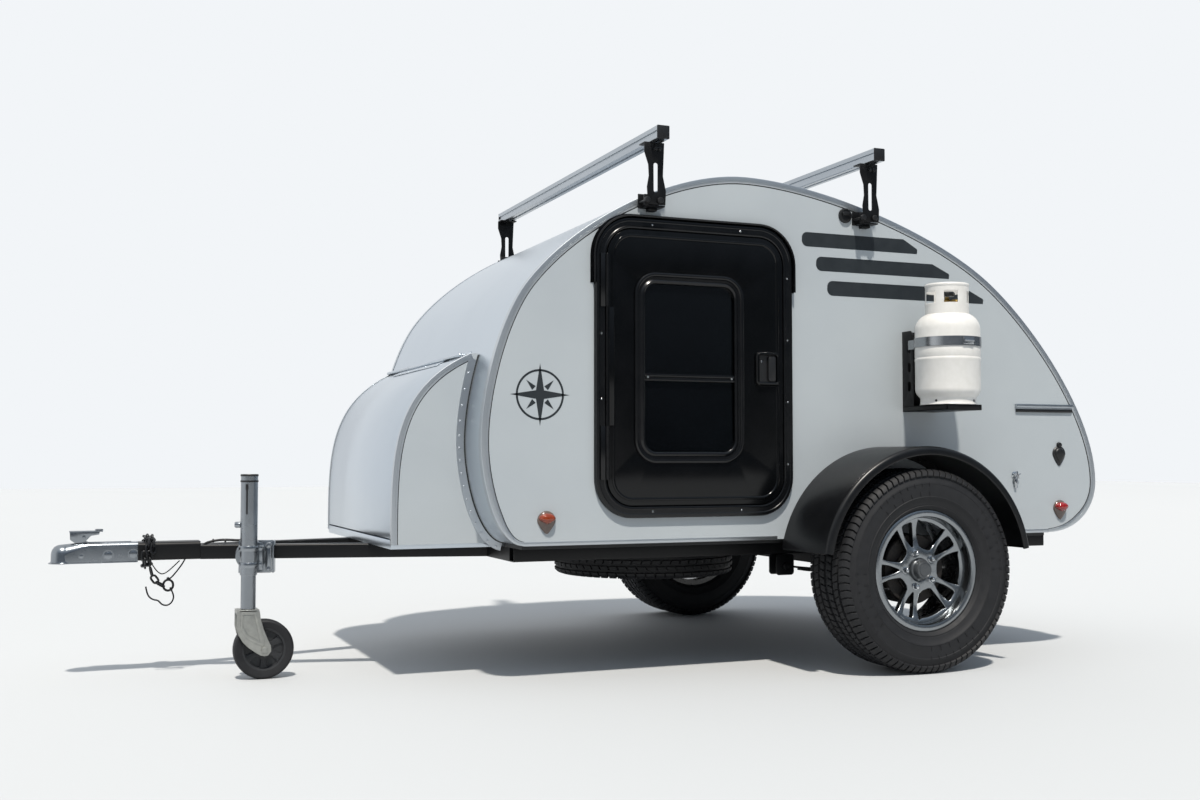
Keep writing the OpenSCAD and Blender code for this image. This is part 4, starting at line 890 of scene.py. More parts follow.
def hinge_frame(point, way):
    """A frame on a hinge line: X along the skin against the outline's direction, Z outwards."""
    x, z = Vector((-way.x, 0, -way.y)), Vector((way.y, 0, -way.x))
    y = z.cross(x)
    m = Matrix((x, y, z)).transposed().to_4x4()
    m.translation = Vector((point[0], 0, point[1]))
    return m


def hinge_leaf(spans, side, leaf=38, lift=9, r=6.6):
    """Knuckles on the line and a screwed leaf on the skin, to one side of the line."""
    parts = []
    x = (0, leaf) if side > 0 else (-leaf, 0)
    for a, b in spans:
        parts.append(moved(rod(r, b - a, steps=28, soft=0.8), shift(0, a, 0) @ OUT_LEFT))
        parts.append(block(x, (a, b), (-lift + 0.4, -lift + 3.4), 0.8))
        count = max(2, round((b - a) / 120))
        for k in range(count):
            y = a + (b - a) * (k + 0.5) / count
            screw = turned([(0, 0), (5, 0), (4.6, 1.4), (2.5, 2.2), (0, 2.3)], 16)
            parts.append(moved(screw, (side * leaf * 0.62, y, -lift + 3.4)))
    return joined(parts)


at_hatch = hinge_frame(*outline_at(HATCH_U, -9))
gap_u = 0.025 / (outline_at(HATCH_U + 0.01)[0] - outline_at(HATCH_U)[0]).length
roof = shell(0, HATCH_U - gap_u, INSIDE_Y)
piece("roof_and_front_skin", softened(roof, 0.8, 1, 50), satin_sheet,
      replaces=("roof_shell",), angle=25)
roof_half = hinge_leaf([(-HATCH_Y, -480), (-115, 115), (480, HATCH_Y)], 1)
piece("hatch_hinge_roof_half", moved(roof_half, at_hatch), satin_sheet)
piece("rear_valance_skin", softened(shell(HATCH_END + 0.03, 6, INSIDE_Y), 0.8, 1, 50),
      satin_sheet, replaces=("rear_valance",), angle=25)
hatch = shell(HATCH_U + gap_u, HATCH_END, HATCH_Y)
piece("hatch_skin", softened(hatch, 1.5, 2, 50), satin_sheet, "hatch", ("hatch_panel",),
      angle=25)
piece("hatch_hinge_half", moved(hinge_leaf([(-479.5, -115.5), (115.5, 479.5)], -1), at_hatch), satin_sheet,
      "hatch")

# ---- Edge trims -----------------------------------------------------------------------------
# Bright aluminium L-strip round the whole side, bent over the edge and bedded on dark sealant.
# The nose box has a narrower one, and a riveted flange where its side stands on the body.
BOX_Y, BOX_T = 556, 15
BOX_LOW, BOX_TOP = Vector((1782, 460)), Vector((1515, 1098))
RIVET = [(0, 0), (4.4, 0), (4, 1.3), (2.2, 2.2), (0, 2.4)]

bright_trim = finish("bright_aluminium_trim", 400, ("#bfc4c9", "#c8cdd0"), (0.34, 0.42), 0.02,
                     metallic=1.0, detail=2.0)
sealant = finish("dark_sealant", 8, ("#191b1d", "#232628"), (0.5, 0.7), 0.1)


def box_at(t, inset=0.0):
    """A point on the nose box outline, moved in by an inset, and the outline's direction."""
    return bend(BOX_LOW, 90, 300, BOX_TOP, 155, 300, t, inset)


def strip(section, curve, start, end, steps, ends=1.0):
    """A closed (inset, y) section led along an outline, narrower by a factor at its two ends."""
    part = bmesh.new()
    rows = []
    for k in range(steps + 1):
        u = start + (end - start) * k / steps
        narrow = ends + (1 - ends) * min(1.0, k / steps * 14, (steps - k) / steps * 14)
        places = [(curve(u, inset * narrow)[0], y) for inset, y in section]
        rows.append([part.verts.new((p.x, y, p.y)) for p, y in places])
    return skinned(part, rows)


def trim_section(y, width, back):
    return [
        (width, y), (width, y + 1.5), (width - 1.2, y + 2), (width * 0.62, y + 2),
        (width * 0.60, y + 1.1), (width * 0.54, y + 1.1), (width * 0.52, y + 2), (1.5, y + 2),
        (-0.8, y + 1.6), (-1.8, y + 0.6), (-2, y - 1), (-2, y - back), (0, y - back), (0, y),
    ]


edge = [strip(trim_section(SIDE_Y, 22, WALL), outline_at, 0, 6, 150, 0.5),
        strip(trim_section(BOX_Y, 18, BOX_T), box_at, 0, 1, 60)]
for x0, x1 in ((445, 1389), (-760, -445)):
    edge.append(block((x0, x1), (SIDE_Y, SIDE_Y + 1.8), (459, 471), 0.5))
    edge.append(block((x0, x1), (SIDE_Y - WALL, SIDE_Y + 1.8), (457.8, 459.8), 0.5))
piece("edge_trim_strips", joined(edge), bright_trim, replaces=("edge_trims",),
      twin=True)
bead = [
    strip([(22, SIDE_Y), (22, SIDE_Y + 1.4), (24, SIDE_Y + 1), (25.5, SIDE_Y)], outline_at, 0, 6, 150, 0.5),
    strip([(18, BOX_Y), (18, BOX_Y + 1.4), (19.5, BOX_Y + 1), (21, BOX_Y)], box_at, 0, 1, 60),
    strip([(-0.1, BOX_Y - 1), (-0.1, BOX_Y + 6), (-4, BOX_Y + 2), (-4, BOX_Y - 1)], outline_at,
          0.02, 1.53, 40),
]
piece("trim_sealant_bead", joined(bead), sealant, twin=True)
angle_strip = [(-30, BOX_Y), (-30, BOX_Y + 1.6), (-2, BOX_Y + 1.6), (-0.3, BOX_Y + 3), (-0.3, BOX_Y + 22),
               (0, BOX_Y + 22), (0, BOX_Y)]
flange = [strip(angle_strip, outline_at, 0.05, 1.5, 40)]
for k in range(15):
    p = outline_at(0.1 + 0.094 * k, -20)[0]
    flange.append(moved(turned(RIVET, 16), shift(p.x, BOX_Y + 1.6, p.y) @ OUT_LEFT))
piece("nose_box_flange", joined(flange), bright_trim, twin=True)

# ---- Floor and inside -----------------------------------------------------------------------
# Birch plywood floor, bulkhead, galley counter, shelf and dividers, sealed with a satin varnish.
# The grain runs across the trailer; the floor is sealed black on its edges and underside.
plywood = finish("varnished_birch_plywood", 60, ("#b6966a", "#d3ba90"), (0.42, 0.58), 0.1,
                 stretch=(1, 0.08, 1), detail=6.0, Coat_Weight=0.2)
for node in ("bulkhead", "galley_counter"):
    kept(node, plywood, 0.8)
floor_board = finish("sealed_floor_board", 60, ("#b6966a", "#cbb187"), (0.5, 0.65), 0.1,
                     stretch=(1, 0.08, 1), detail=6.0)
laid_over(floor_board, "#0f1012", 0.4795, 0.4805)
kept("floor_panel", floor_board, 0.8)

# ---- Nose box -------------------------------------------------------------------------------
# Two white side panels, a narrow sill and a top lip; the lid is one curved aluminium sheet that
# is hinged at the top and closes on the sill.
LID_Y = 536
curve = [box_at(k / 40)[0] for k in range(41)]
sides = across(curve + outline(0, 1.54)[::-1], BOX_Y - BOX_T, BOX_Y)
piece("nose_box_sides", sides, white_panel, replaces=("nose_box",), twin=True)
inner_y = BOX_Y - BOX_T
sill = [across([(1782, 445), (1782, 475), (1389, 475), (1389, 445)], -inner_y, inner_y)]
lip = [box_at(0.975)[0], BOX_TOP, outline_at(1.54)[0], outline_at(1.46)[0], box_at(0.975, BOX_T)[0]]
sill.append(across(lip, -inner_y, inner_y))
piece("nose_box_sill_and_lip", softened(joined(sill), 1.5), satin_sheet)
along = [0.022 + 0.935 * k / 36 for k in range(37)]
lid = [box_at(t)[0] for t in along] + [box_at(t, BOX_T)[0] for t in along[::-1]]
piece("nose_box_lid_skin", softened(across(lid, -LID_Y, LID_Y), 1.5, 2, 50), satin_sheet, "nose_lid",
      ("box_lid",), angle=25)
at_lid = hinge_frame(box_at(0.97, -9)[0], box_at(0.965)[1])
piece("nose_lid_hinge_box_half", moved(hinge_leaf([(-LID_Y, -330), (330, LID_Y)], -1), at_lid), satin_sheet)
piece("nose_lid_hinge_half", moved(hinge_leaf([(-329.5, 329.5)], 1), at_lid), satin_sheet, "nose_lid")

# ---- Doors ----------------------------------------------------------------------------------
# Black powder-coated aluminium door in a moulded frame with a lining, screwed on and sealed. The
# leaf is glossier, with a raised bead, a sliding window behind a double bar and a paddle latch.
DOOR_X, DOOR_Z, FRAME_W, FRAME_H, FRAME_R = 765, 1053, 758, 1020, 135
LEAF_W, LEAF_H, LEAF_R, LEAF_Y, LEAF_T = 672, 934, 92, 762, 32
WINDOW_X, WINDOW_W, WINDOW_H, WINDOW_R = 30, 418, 650, 80
HINGE_X, HINGE_Y, HINGE_W, HINGE_R = 1103.5, 769.5, 24, 6

door_black = finish("gloss_black_door_paint", 90, ("#040506", "#07080a"), (0.14, 0.2), 0.02,
                    Specular_IOR_Level=0.3)
frame_black = finish("satin_black_frame_paint", 60, ("#060709", "#0a0b0d"), (0.18, 0.27), 0.02,
                     Specular_IOR_Level=0.4)
tinted_glass = finish("tinted_acrylic_glass", 300, ("#0b0e11", "#101418"), (0.02, 0.06),
                      Transmission_Weight=0.55, IOR=1.49)
black_plastic = finish("black_moulded_plastic", 2, ("#0d0e10", "#141517"), (0.34, 0.48), 0.04)
stainless = finish("brushed_stainless", 60, ("#a0a3a6", "#adb0b3"), (0.2, 0.3), 0.02,
                   metallic=1.0, stretch=(1, 1, 0.1))


def round_points(w, h, r, x=0, y=0, steps=9):
    """Points of a rounded rectangle."""
    points = []
    for k, (sx, sy) in enumerate(((1, 1), (-1, 1), (-1, -1), (1, -1))):
        angles = [90 * (k + j / steps) for j in range(steps + 1)]
        points += arc(r, angles, x + sx * (w / 2 - r), y + sy * (h / 2 - r))
    return points


def moulding(w, h, r, section, steps=9):
    """A closed (inset, out) section led round a rounded rectangle; the front is towards +Z."""
    part = bmesh.new()
    rings = []
    for inset, out in section:
        ring = [
            part.verts.new((x, y, out))
            for x, y in round_points(w - 2 * inset, h - 2 * inset, max(r - inset, 1), steps=steps)
        ]
        rings.append(ring)
    return skinned(part, rings, closed=True)


SCREW = [(0, 0), (3.4, 0), (3.2, 0.8), (2.2, 1.6), (1, 1.9), (1, 1.3), (0, 1.3)]
at_door = facing(DOOR_X, SIDE_Y, DOOR_Z)
frame_part = moulding(FRAME_W, FRAME_H, FRAME_R, [
    (0, 0), (0, 11), (1.2, 14.5), (4, 17.4), (7, 18), (13, 18), (15.5, 16.2), (29, 16.2), (31.5, 18),
    (35.5, 18), (37.6, 16.8), (38, 14), (38, -25), (20, -25), (20, 0),
], 12)
gutter = moulding(FRAME_W + 26, FRAME_H + 26, FRAME_R + 13, [
    (0, 0), (0, 2), (8, 2.4), (9.5, 22), (6, 22), (5, 25), (7, 27), (11.5, 26), (12.5, 2), (12.8, 0),
], 12)
bmesh.ops.bisect_plane(
    gutter, geom=gutter.verts[:] + gutter.edges[:] + gutter.faces[:], plane_co=(0, 281, 0),
    plane_no=(0, -1, 0), clear_outer=True,
)
bmesh.ops.holes_fill(gutter, edges=[e for e in gutter.edges if len(e.link_faces) == 1], sides=0)


def knuckles(spans, r, pitch=38):
    """Hinge knuckles along Z with a fine groove every pitch."""
    parts = []
    for low, high in spans:
        count = max(1, round((high - low) / pitch))
        profile = [(0, low)]
        for k in range(count):
            a, b = low + (high - low) * k / count, low + (high - low) * (k + 1) / count
            profile += [(r - 0.9, a + 0.1), (r, a + 1), (r, b - 1), (r - 0.9, b - 0.1)]
        parts.append(turned(profile + [(0, high)], 24))
    return parts


parts = [moved(frame_part, at_door), moved(gutter, at_door)]
for knuckle in knuckles([(-380, -200), (200, 380)], HINGE_R):
    parts.append(moved(knuckle, (HINGE_X, HINGE_Y, DOOR_Z)))
for z in (-290, 290):
    height = (DOOR_Z + z - 90, DOOR_Z + z + 90)
    parts.append(block((HINGE_X, HINGE_X + HINGE_W), (HINGE_Y - 6.5, HINGE_Y - 2.5), height, 1))
piece("door_frame_mouldings", joined(parts), frame_black, replaces=("door_frames",),
      twin=True)
seal = moulding(LEAF_W + 9, LEAF_H + 9, LEAF_R + 4, [(0, -6), (0, 9), (2, 12), (4.2, 9), (4.2, -6)], 12)
piece("door_seal", moved(seal, at_door), cable_rubber, twin=True)
spots = [(x, z) for x in (-357, 357) for z in (-330, -110, 110, 330)]
spots += [(x, z) for z in (-488, 488) for x in (-170, 170)]
screws = [moved(turned(SCREW, 16), at_door @ shift(x, z, 16.2)) for x, z in spots]
piece("door_frame_screws", joined(screws), stainless, twin=True)

window_hole = round_points(WINDOW_W - 76, WINDOW_H - 76, 37, WINDOW_X)


def door_side(side, label):
    """The leaf, window frame, latch and hinge half of one door."""
    body = "door_" + label
    flip = Matrix.Scale(side, 4, (0, 1, 0))
    face = flip @ facing(DOOR_X, LEAF_Y, DOOR_Z)
    leaf = cut_plate(round_points(LEAF_W, LEAF_H, LEAF_R, steps=12), [window_hole], LEAF_T)
    leaf = softened(leaf, 2.5, 3)
    bead = moulding(LEAF_W, LEAF_H, LEAF_R, [
        (15, -0.5), (16, 2.2), (19, 3.6), (22, 3.6), (25, 2.2), (27, -0.5),
    ], 12)
    parts = [moved(leaf, face @ shift(0, 0, -LEAF_T)), moved(bead, face)]
    for knuckle in knuckles([(-199.5, 199.5)], HINGE_R):
        parts.append(moved(knuckle, flip @ shift(HINGE_X, HINGE_Y, DOOR_Z)))
    height = (DOOR_Z - 199, DOOR_Z + 199)
    plate = block((HINGE_X - HINGE_W, HINGE_X), (HINGE_Y - 7.6, HINGE_Y - 2.6), height, 1)
    parts.append(moved(plate, flip))
    piece("door_leaf_" + label, joined(parts), door_black, body, ("door_panel_" + label,))

    window = moulding(WINDOW_W, WINDOW_H, WINDOW_R, [
        (0, 0), (0, 3.5), (1.5, 7), (5, 8.8), (9, 9), (13, 7.6), (15.5, 4), (23, 3.4), (26, 6), (30, 8.6),
        (34, 8.2), (37.4, 5.6), (38, 2), (38, -18), (35, -18), (35, 0),
    ], 12)
    window = [moved(window, face @ shift(WINDOW_X, 0, 0))]
    for z in (-40, -26):
        window.append(moved(slab(342, 9.5, 17, 0, 1.2), face @ shift(WINDOW_X, z, -12)))
    window.append(moved(slab(342, 20, 10, 0, 0.8), face @ shift(WINDOW_X, -33, -12)))
    piece("door_window_frame_" + label, joined(window), frame_black, body)
    marks = []
    for x in (-160, 160):
        marks.append(moved(turned(SCREW, 16), face @ shift(WINDOW_X + x, -33, 4.2)))
    for x, z, r in ((-250, 32, 4), (-292, -26, 5)):
        marks.append(moved(turned([(0, 0), (r, 0), (r, 1.5), (r - 1, 2.4), (1.2, 2.4), (1, 1), (0, 1)], 24),
                           face @ shift(x, z, 9 if r > 4 else 3)))
    piece("door_bright_screws_" + label, joined(marks), chrome, body)

    bezel = moulding(96, 121, 18, [
        (0, 0), (0, 6), (2, 11), (5, 13.4), (9, 13.8), (12.5, 11.6), (14, 7), (14, 0),
    ], 8)
    at_latch = face @ shift(-272, 6, 0)
    piece("door_latch_bezel_" + label, moved(bezel, at_latch), door_black, body)
    latch = [moved(slab(74, 99, 2, 6), at_latch)]
    paddle = slab(30, 86, 7, 8, 2)
    for v in paddle.verts:
        v.co.z += 3 + 2.5 * math.cos(v.co.x / 15 * 1.5)
    latch.append(moved(paddle, at_latch @ shift(-16, 0, 1)))
    latch.append(moved(slab(70, 40, 13, 6, 1.5), at_latch @ shift(0, 0, -LEAF_T - 13)))
    latch.append(moved(slab(18, 60, 10, 5, 2), at_latch @ shift(0, -30, -LEAF_T - 22)))
    piece("door_latch_" + label, joined(latch), black_plastic, body,
          ("door_latch_" + label,))
    kept("door_glass_" + label, tinted_glass)


door_side(1, "left")
door_side(-1, "right")

# ---- Hatch fittings -------------------------------------------------------------------------
# Two long red tail lamps with a rubber gasket and a folding T-handle near the lower edge.
tail_red = finish("red_lamp_lens", 5, ("#8d0e0c", "#b41915"), (0.08, 0.18), 0.15,
                  Coat_Weight=0.8, Transmission_Weight=0.3)
at_lamps = hinge_frame(*outline_at(4.9))
lamp = softened(moved(slab(64, 202, 9.5, 14), at_lamps @ shift(0, 575, 4.5)), 2.5, 3)
piece("tail_lamp_lenses", lamp, tail_red, "hatch", ("tail_lamps",), twin=True)
base = moved(slab(72, 210, 5, 16, 1.2), at_lamps @ shift(0, 575, 0.2))
piece("tail_lamp_bases", base, black_plastic, "hatch", twin=True)
at_handle = hinge_frame(*outline_at(5.28))
handle = [moved(slab(40, 140, 5, 10, 1.2), at_handle @ shift(0, 0, 0.2)),
          moved(slab(16, 68, 11, 6, 3), at_handle @ shift(0, 0, 5)),
          moved(rod(7, 6, steps=24, soft=0.8), at_handle @ shift(0, 52, 5))]
piece("hatch_t_handle", joined(handle), black_plastic, "hatch", ("hatch_handle",))

# ---- Roof rack ------------------------------------------------------------------------------
# Two clear-anodised T-slot bars with black end caps, on slotted steel plate legs. Each leg is
# clamped to the edge of the roof by a foot plate and two knobs, and powder coated black.
BAR, BAR_HALF, BAR_TOP, RACK_Y, FOOT_Z, BARS_X = 45, 862, 1860, 800, 1602, (940, 82)

anodised = finish("clear_anodised_aluminium", 60, ("#aab0b6", "#b4babf"), (0.26, 0.34), 0.01,
                  metallic=1.0, stretch=(1, 0.1, 1))


def t_slot():
    """The bar's section: a square with a grooved slot in each side."""
    quarter = [(-20.5, 22.5), (-6, 22.5), (-5, 17.5), (5, 17.5), (6, 22.5), (20.5, 22.5)]
    points = []
    for k in range(4):
        points += spun(quarter, -90 * k)
    return points


bars, caps = [], []
for x in BARS_X:
    bars.append(moved(cut_plate(t_slot(), [ring_points(5, 20)], 2 * BAR_HALF - 5),
                      shift(x, 2.5 - BAR_HALF, BAR_TOP - BAR / 2) @ OUT_LEFT))
    for side in (1, -1):
        caps.append(moved(slab(45.6, 45.6, 3, 3, 0.9),
                          shift(x, side * (BAR_HALF - 2.8), BAR_TOP - BAR / 2) @ turn(-90 * side, "X")))
piece("roof_bar_extrusions", joined(bars), anodised, replaces=("roof_bars",))
piece("roof_bar_end_caps", joined(caps), black_plastic)
legs, knobs = [], []
for x in BARS_X:
    top = BAR_TOP - BAR - 0.3
    outline_xz = [(-34, FOOT_Z), (30, FOOT_Z), (34, 1662), (27, 1700), (29, 1738), (38, 1764), (44, 1782),
                  (44, top), (-30, top), (-25, 1700), (-36, 1650)]
    slot_xz = arc(8, range(0, 181, 20), 2, 1737) + arc(8, range(200, 360, 20), 2, 1652)
    plate = softened(cut_plate(outline_xz, [slot_xz], 5), 1)
    legs.append(moved(plate, facing(x, RACK_Y, 0)))
    legs.append(block((x - 30, x + 44), (RACK_Y - 40, RACK_Y + 1), (top - 5, top), 1))
    legs.append(block((x - 34, x + 44), (747.4, 752.4), (FOOT_Z - 6, FOOT_Z + 44), 1))
    legs.append(block((x - 34, x + 30), (747.4, RACK_Y + 0.5), (FOOT_Z - 6, FOOT_Z - 1), 1))
    legs.append(block((x + 28, x + 44), (796, RACK_Y + 4), (FOOT_Z - 4, FOOT_Z + 34), 1))
    legs.append(block((x - 15, x + 15), (749, 778), (FOOT_Z - 17, FOOT_Z - 6), 2))
    for dx in (-12, 36):
        knobs.append(moved(rod(5, RACK_Y - 748, steps=20), facing(x + dx, 749, FOOT_Z + 14)))
        knobs.append(moved(turned([(0, 0), (9, 0), (11, 3), (11, 9), (9, 12), (3, 13), (0, 13)], 12),
                           facing(x + dx, RACK_Y + 5, FOOT_Z + 14)))
    for dx in (-12, 4):
        knobs.append(moved(bolt(8), facing(x + dx, RACK_Y + 5, top - 22)))
piece("roof_bar_leg_plates", joined(legs), powder_coat, replaces=("rack_legs",),
      twin=True)
piece("roof_bar_leg_knobs", joined(knobs), black_plastic, twin=True)

# ---- Gas bottle -----------------------------------------------------------------------------
# Off-white painted steel bottle of two pressed halves with a weld band, a foot ring and a collar
# with hand holes round the brass valve. It stands on the shelf of a black bracket on the wall.
BOTTLE_X, BOTTLE_Y, BOTTLE_R, BOTTLE_Z, SHOULDER_Z, NARROW = -165, 915, 115, 936, 1267, 115 / 120

cream_paint = finish("off_white_bottle_paint", 25, ("#d5d4d0", "#dbdad7"), (0.34, 0.48), 0.25,
                     detail=3.0, Coat_Weight=0.2)
brass = finish("dull_brass", 8, ("#7d6638", "#a0854c"), (0.3, 0.46), 0.05, metallic=1.0)
profile = [(r, BOTTLE_Z + z) for r, z in (
    (0, 30), (92, 24), (97, 6), (95, 1.5), (97, 0), (103, 0), (104.5, 2), (102, 6), (101.5, 24))]
profile += arc(34, range(-50, 1, 10), 86, BOTTLE_Z + 58)
profile += [(120, 1092), (121.5, 1096), (121.5, 1103), (119.6, 1105.5), (119.6, 1107), (120.5, 1109),
            (120.5, 1138), (120, 1140)]
profile += arc(62, range(0, 85, 8), 58, SHOULDER_Z - 62)
profile += [(32, SHOULDER_Z + 1), (30, SHOULDER_Z + 12), (28, SHOULDER_Z + 14), (0, SHOULDER_Z + 14)]
at_bottle = shift(BOTTLE_X, BOTTLE_Y, 0)
bottle = moved(turned([(r * NARROW, z) for r, z in profile], 80), at_bottle)
# Four black discs on the foot ring are painted shade: they stand for the dark inside its drain holes, which
# are not cut.
drain_hole_shade_discs = [moved(rod(4.5, 1, steps=20), turn(28 + 90 * k, "Z") @ shift(97.3, 0, BOTTLE_Z + 14) @ ALONG_X)
          for k in range(4)]
piece("bottle_foot_drain_hole_shade", moved(joined(drain_hole_shade_discs), at_bottle), black_plastic)
piece("gas_bottle_shell", bottle, cream_paint, replaces=("gas_bottle",), angle=50)


def curved_sheet(r, low, high, thick, holes, steps=96):
    """A standing cylinder wall with rectangular openings given as (angle from, to, low, high)."""
    levels = sorted({low, high, *[h[2] for h in holes], *[h[3] for h in holes]})
    part = bmesh.new()
    rings = [[part.verts.new((x, y, z)) for x, y in ring_points(r, steps)] for z in levels]
    for (a, b), za, zb in zip(zip(rings, rings[1:]), levels, levels[1:]):
        for k in range(steps):
            angle, z = (k + 0.5) * 360 / steps, (za + zb) / 2
            if any(h[0] < angle < h[1] and h[2] < z < h[3] for h in holes):
                continue
            j = (k + 1) % steps
            part.faces.new((a[k], a[j], b[j], b[k]))
    bmesh.ops.recalc_face_normals(part, faces=part.faces)
    bmesh.ops.solidify(part, geom=part.faces[:], thickness=thick)
    return part


holes = [(a, b, SHOULDER_Z + 34, SHOULDER_Z + 76)
         for a, b in ((0, 22), (338, 360), (44, 84), (117, 152), (200, 240), (270, 310))]
collar = curved_sheet(77, SHOULDER_Z - 8, SHOULDER_Z + 98, 3, holes)
collar = [moved(softened(collar, 1, 1, 50), at_bottle)]
roll = turned([(73, 96), (75, 93), (78, 95), (79, 100), (77, 105), (75, 106), (73, 102)], 80)
at_shoulder = shift(BOTTLE_X, BOTTLE_Y, SHOULDER_Z)
collar.append(moved(roll, at_shoulder))
piece("bottle_collar_ring", joined(collar), cream_paint, replaces=("bottle_collar",))
valve = [
    turned([(0, 14), (15, 14), (15, 26), (12, 28), (12, 50), (8, 54), (8, 60), (0, 60)], 6),
    moved(turned([(0, 0), (10, 0), (10, 18), (12, 20), (12, 38), (9, 42), (9, 48), (0, 48)], 28),
          shift(0, 0, 38) @ turn(30, "Z") @ OUT_LEFT),
]
wheel = turned([(0, 62), (26, 62), (28, 66), (28, 74), (25, 78), (10, 79), (0, 77)], 10)
piece("bottle_valve", moved(joined(valve), at_shoulder), brass)
piece("bottle_valve_wheel", moved(wheel, at_shoulder), black_plastic)

BRACKET_X, SHELF_Y, SHELF_LOW, SHELF_TOP = (-240, -90), (SIDE_Y, 1007), 915.7, 935.7
bracket = [block(BRACKET_X, (SIDE_Y, SIDE_Y + 4), (SHELF_TOP, 1212.7), 1)]
for x in (-240, -94):
    side = [(745.5, SHELF_TOP), (813, SHELF_TOP), (813, 1195), (796, 1212.7), (745.5, 1212.7)]
    slots = [arc(9, range(0, 180, 20), 787, z + 17) + arc(9, range(180, 360, 20), 787, z - 1)
             for z in (1000, 1070, 1140)]
    plate = softened(cut_plate(side, slots, 4), 0.8)
    bracket.append(moved(plate, Matrix(((0, 0, 1, x), (1, 0, 0, 0), (0, 1, 0, 0), (0, 0, 0, 1)))))
    bracket.append(block((x, x + 4), SHELF_Y, (SHELF_LOW, 935), 0.8))
bracket.append(block(BRACKET_X, SHELF_Y, (SHELF_TOP - 4, SHELF_TOP), 1))
bracket.append(block(BRACKET_X, SHELF_Y, (SHELF_LOW, SHELF_LOW + 4), 1))
bracket.append(block(BRACKET_X, (1003, 1007), (916, 935), 0.8))
bracket += [moved(bolt(8), facing(x, SIDE_Y + 4, z)) for x in (-205, -125) for z in (965, 1040, 1115, 1185)]
piece("bottle_bracket_sheet", joined(bracket), powder_coat,
      replaces=("bottle_bracket",))

STRAP_Z, STRAP_H = 1143, 34
strap_in, strap_out, strap_mid = BOTTLE_R + 1.8, BOTTLE_R + 3.3, STRAP_Z + STRAP_H / 2
path = arc(strap_out, range(-48, 229, 3)) + arc(strap_in, range(228, -49, -3))
strap = [moved(softened(cut_plate(path, [], STRAP_H), 0.4, 1), (BOTTLE_X, BOTTLE_Y, STRAP_Z))]
for side in (1, -1):
    x = BOTTLE_X + side * 76.2
    strap.append(block((x - 0.9, x + 0.9), (785, 829), (STRAP_Z, STRAP_Z + STRAP_H), 0.4))
strap.append(moved(slab(44, 26, 6, 3, 1), facing(BOTTLE_X, BOTTLE_Y + strap_out - 2, strap_mid)))
strap.append(moved(rod(4, 40, steps=16, soft=0.6),
                   shift(BOTTLE_X - 20, BOTTLE_Y + strap_out + 5, strap_mid) @ ALONG_X))
piece("bottle_strap_band", joined(strap), stainless, replaces=("bottle_strap",))

# ---- Marker lamps ---------------------------------------------------------------------------
# Small drop-shaped marker lamps, amber ahead and red behind: a ribbed lens on a chromed base.
amber_lens = finish("amber_lamp_lens", 4, ("#7c2a08", "#a8400f"), (0.08, 0.18), 0.1,
                    Coat_Weight=0.6, Transmission_Weight=0.3)
smoked_housing = finish("smoked_lamp_housing", 6, ("#52433c", "#63534b"), (0.12, 0.22), 0.03,
                        Coat_Weight=0.5)


def drop(r, height, depth=0.32, ribs=0.0):
    """A low dome, drawn down to a point below like a drop."""
    levels = ((1.0, 0.0), (1.0, 0.25), (0.93, 0.55), (0.78, 0.8), (0.5, 0.95), (0, 1.0))
    part = turned([(0, 0)] + [(r * a, height * b) for a, b in levels], 48)
    for v in part.verts:
        x, y, z = v.co
        if y < 0:
            fall = min(1.0, -y / r)
            v.co.x = x * (1 - 0.45 * fall ** 1.5)
            v.co.y = y * (1 + depth * fall)
        if ribs and z > height * 0.3:
            v.co.z += ribs * math.sin(x * 0.9)
    return part


lenses = {"amber_marker": (amber_lens, 1312, 540), "red_marker": (tail_red, -817, 550)}
for label, (lens, x, z) in lenses.items():
    at_lamp = facing(x, SIDE_Y, z)
    piece(label + "_bases", moved(drop(32, 12, 0.35), at_lamp), smoked_housing,
          twin=True)
    dome = drop(27, 25, 0, 0.4)
    bmesh.ops.scale(dome, vec=(1.06, 0.66, 1), verts=dome.verts)
    piece(label + "_lenses", moved(dome, at_lamp @ shift(0, 7, 4)), lens,
          replaces=("side_lamps",) if x > 0 else (), twin=True, angle=60)

# ---- Wall fittings --------------------------------------------------------------------------
# Gutter rail over the galley, power inlet under a sprung flap, chromed water filler with a star
# head and two prongs, and a small round porch lamp beside the roof bar.
RAIL_X, INLET_X, INLET_Z, PORCH_X = (-882, -606), -816, 762, 155
rail = [block(RAIL_X, (SIDE_Y, 747.6), (924, 954), 0.8), block(RAIL_X, (SIDE_Y, 758), (941, 954), 1.2)]
piece("galley_gutter_rail", joined(rail), anodised, twin=True)
plastics = [
    moved(drop(31, 9, 0.5), facing(INLET_X, SIDE_Y, INLET_Z)),
    moved(drop(24, 9, 0.4), facing(INLET_X, SIDE_Y + 5, INLET_Z)),
    moved(rod(11, 10, 9, 28, 1), facing(INLET_X, SIDE_Y, INLET_Z + 35)),
    moved(slab(16, 14, 8, 3, 1.5), facing(INLET_X, SIDE_Y, INLET_Z + 24)),
    block((-880, -608), (747, 752), (923, 935), 1),
    moved(turned([(0, 0), (27, 0), (27, 5), (25, 9), (21, 10), (20, 8), (0, 8)], 48),
          facing(PORCH_X, SIDE_Y, 1630)),
    moved(slab(34, 14, 15, 6, 2), facing(PORCH_X, SIDE_Y, 1636)),
]
piece("wall_fitting_plastics", joined(plastics), black_plastic,
      replaces=("wall_fittings",), twin=True)
tap = [turned([(0, 0), (14, 0), (14, 2), (10, 4), (9, 14), (6, 16), (6, 20), (0, 20)], 32)]
for k in range(5):
    tap.append(moved(rod(3.6, 16, 2.6, 16, 0.6), shift(0, 0, 16) @ turn(90 + 72 * k, "Z") @ ALONG_X))
for x, lean in ((-5, 4), (5, -4)):
    tap.append(moved(rod(4.5, 42, 3, 16, 0.8), shift(x, -8, 6) @ turn(lean, "Z") @ turn(90, "X")))
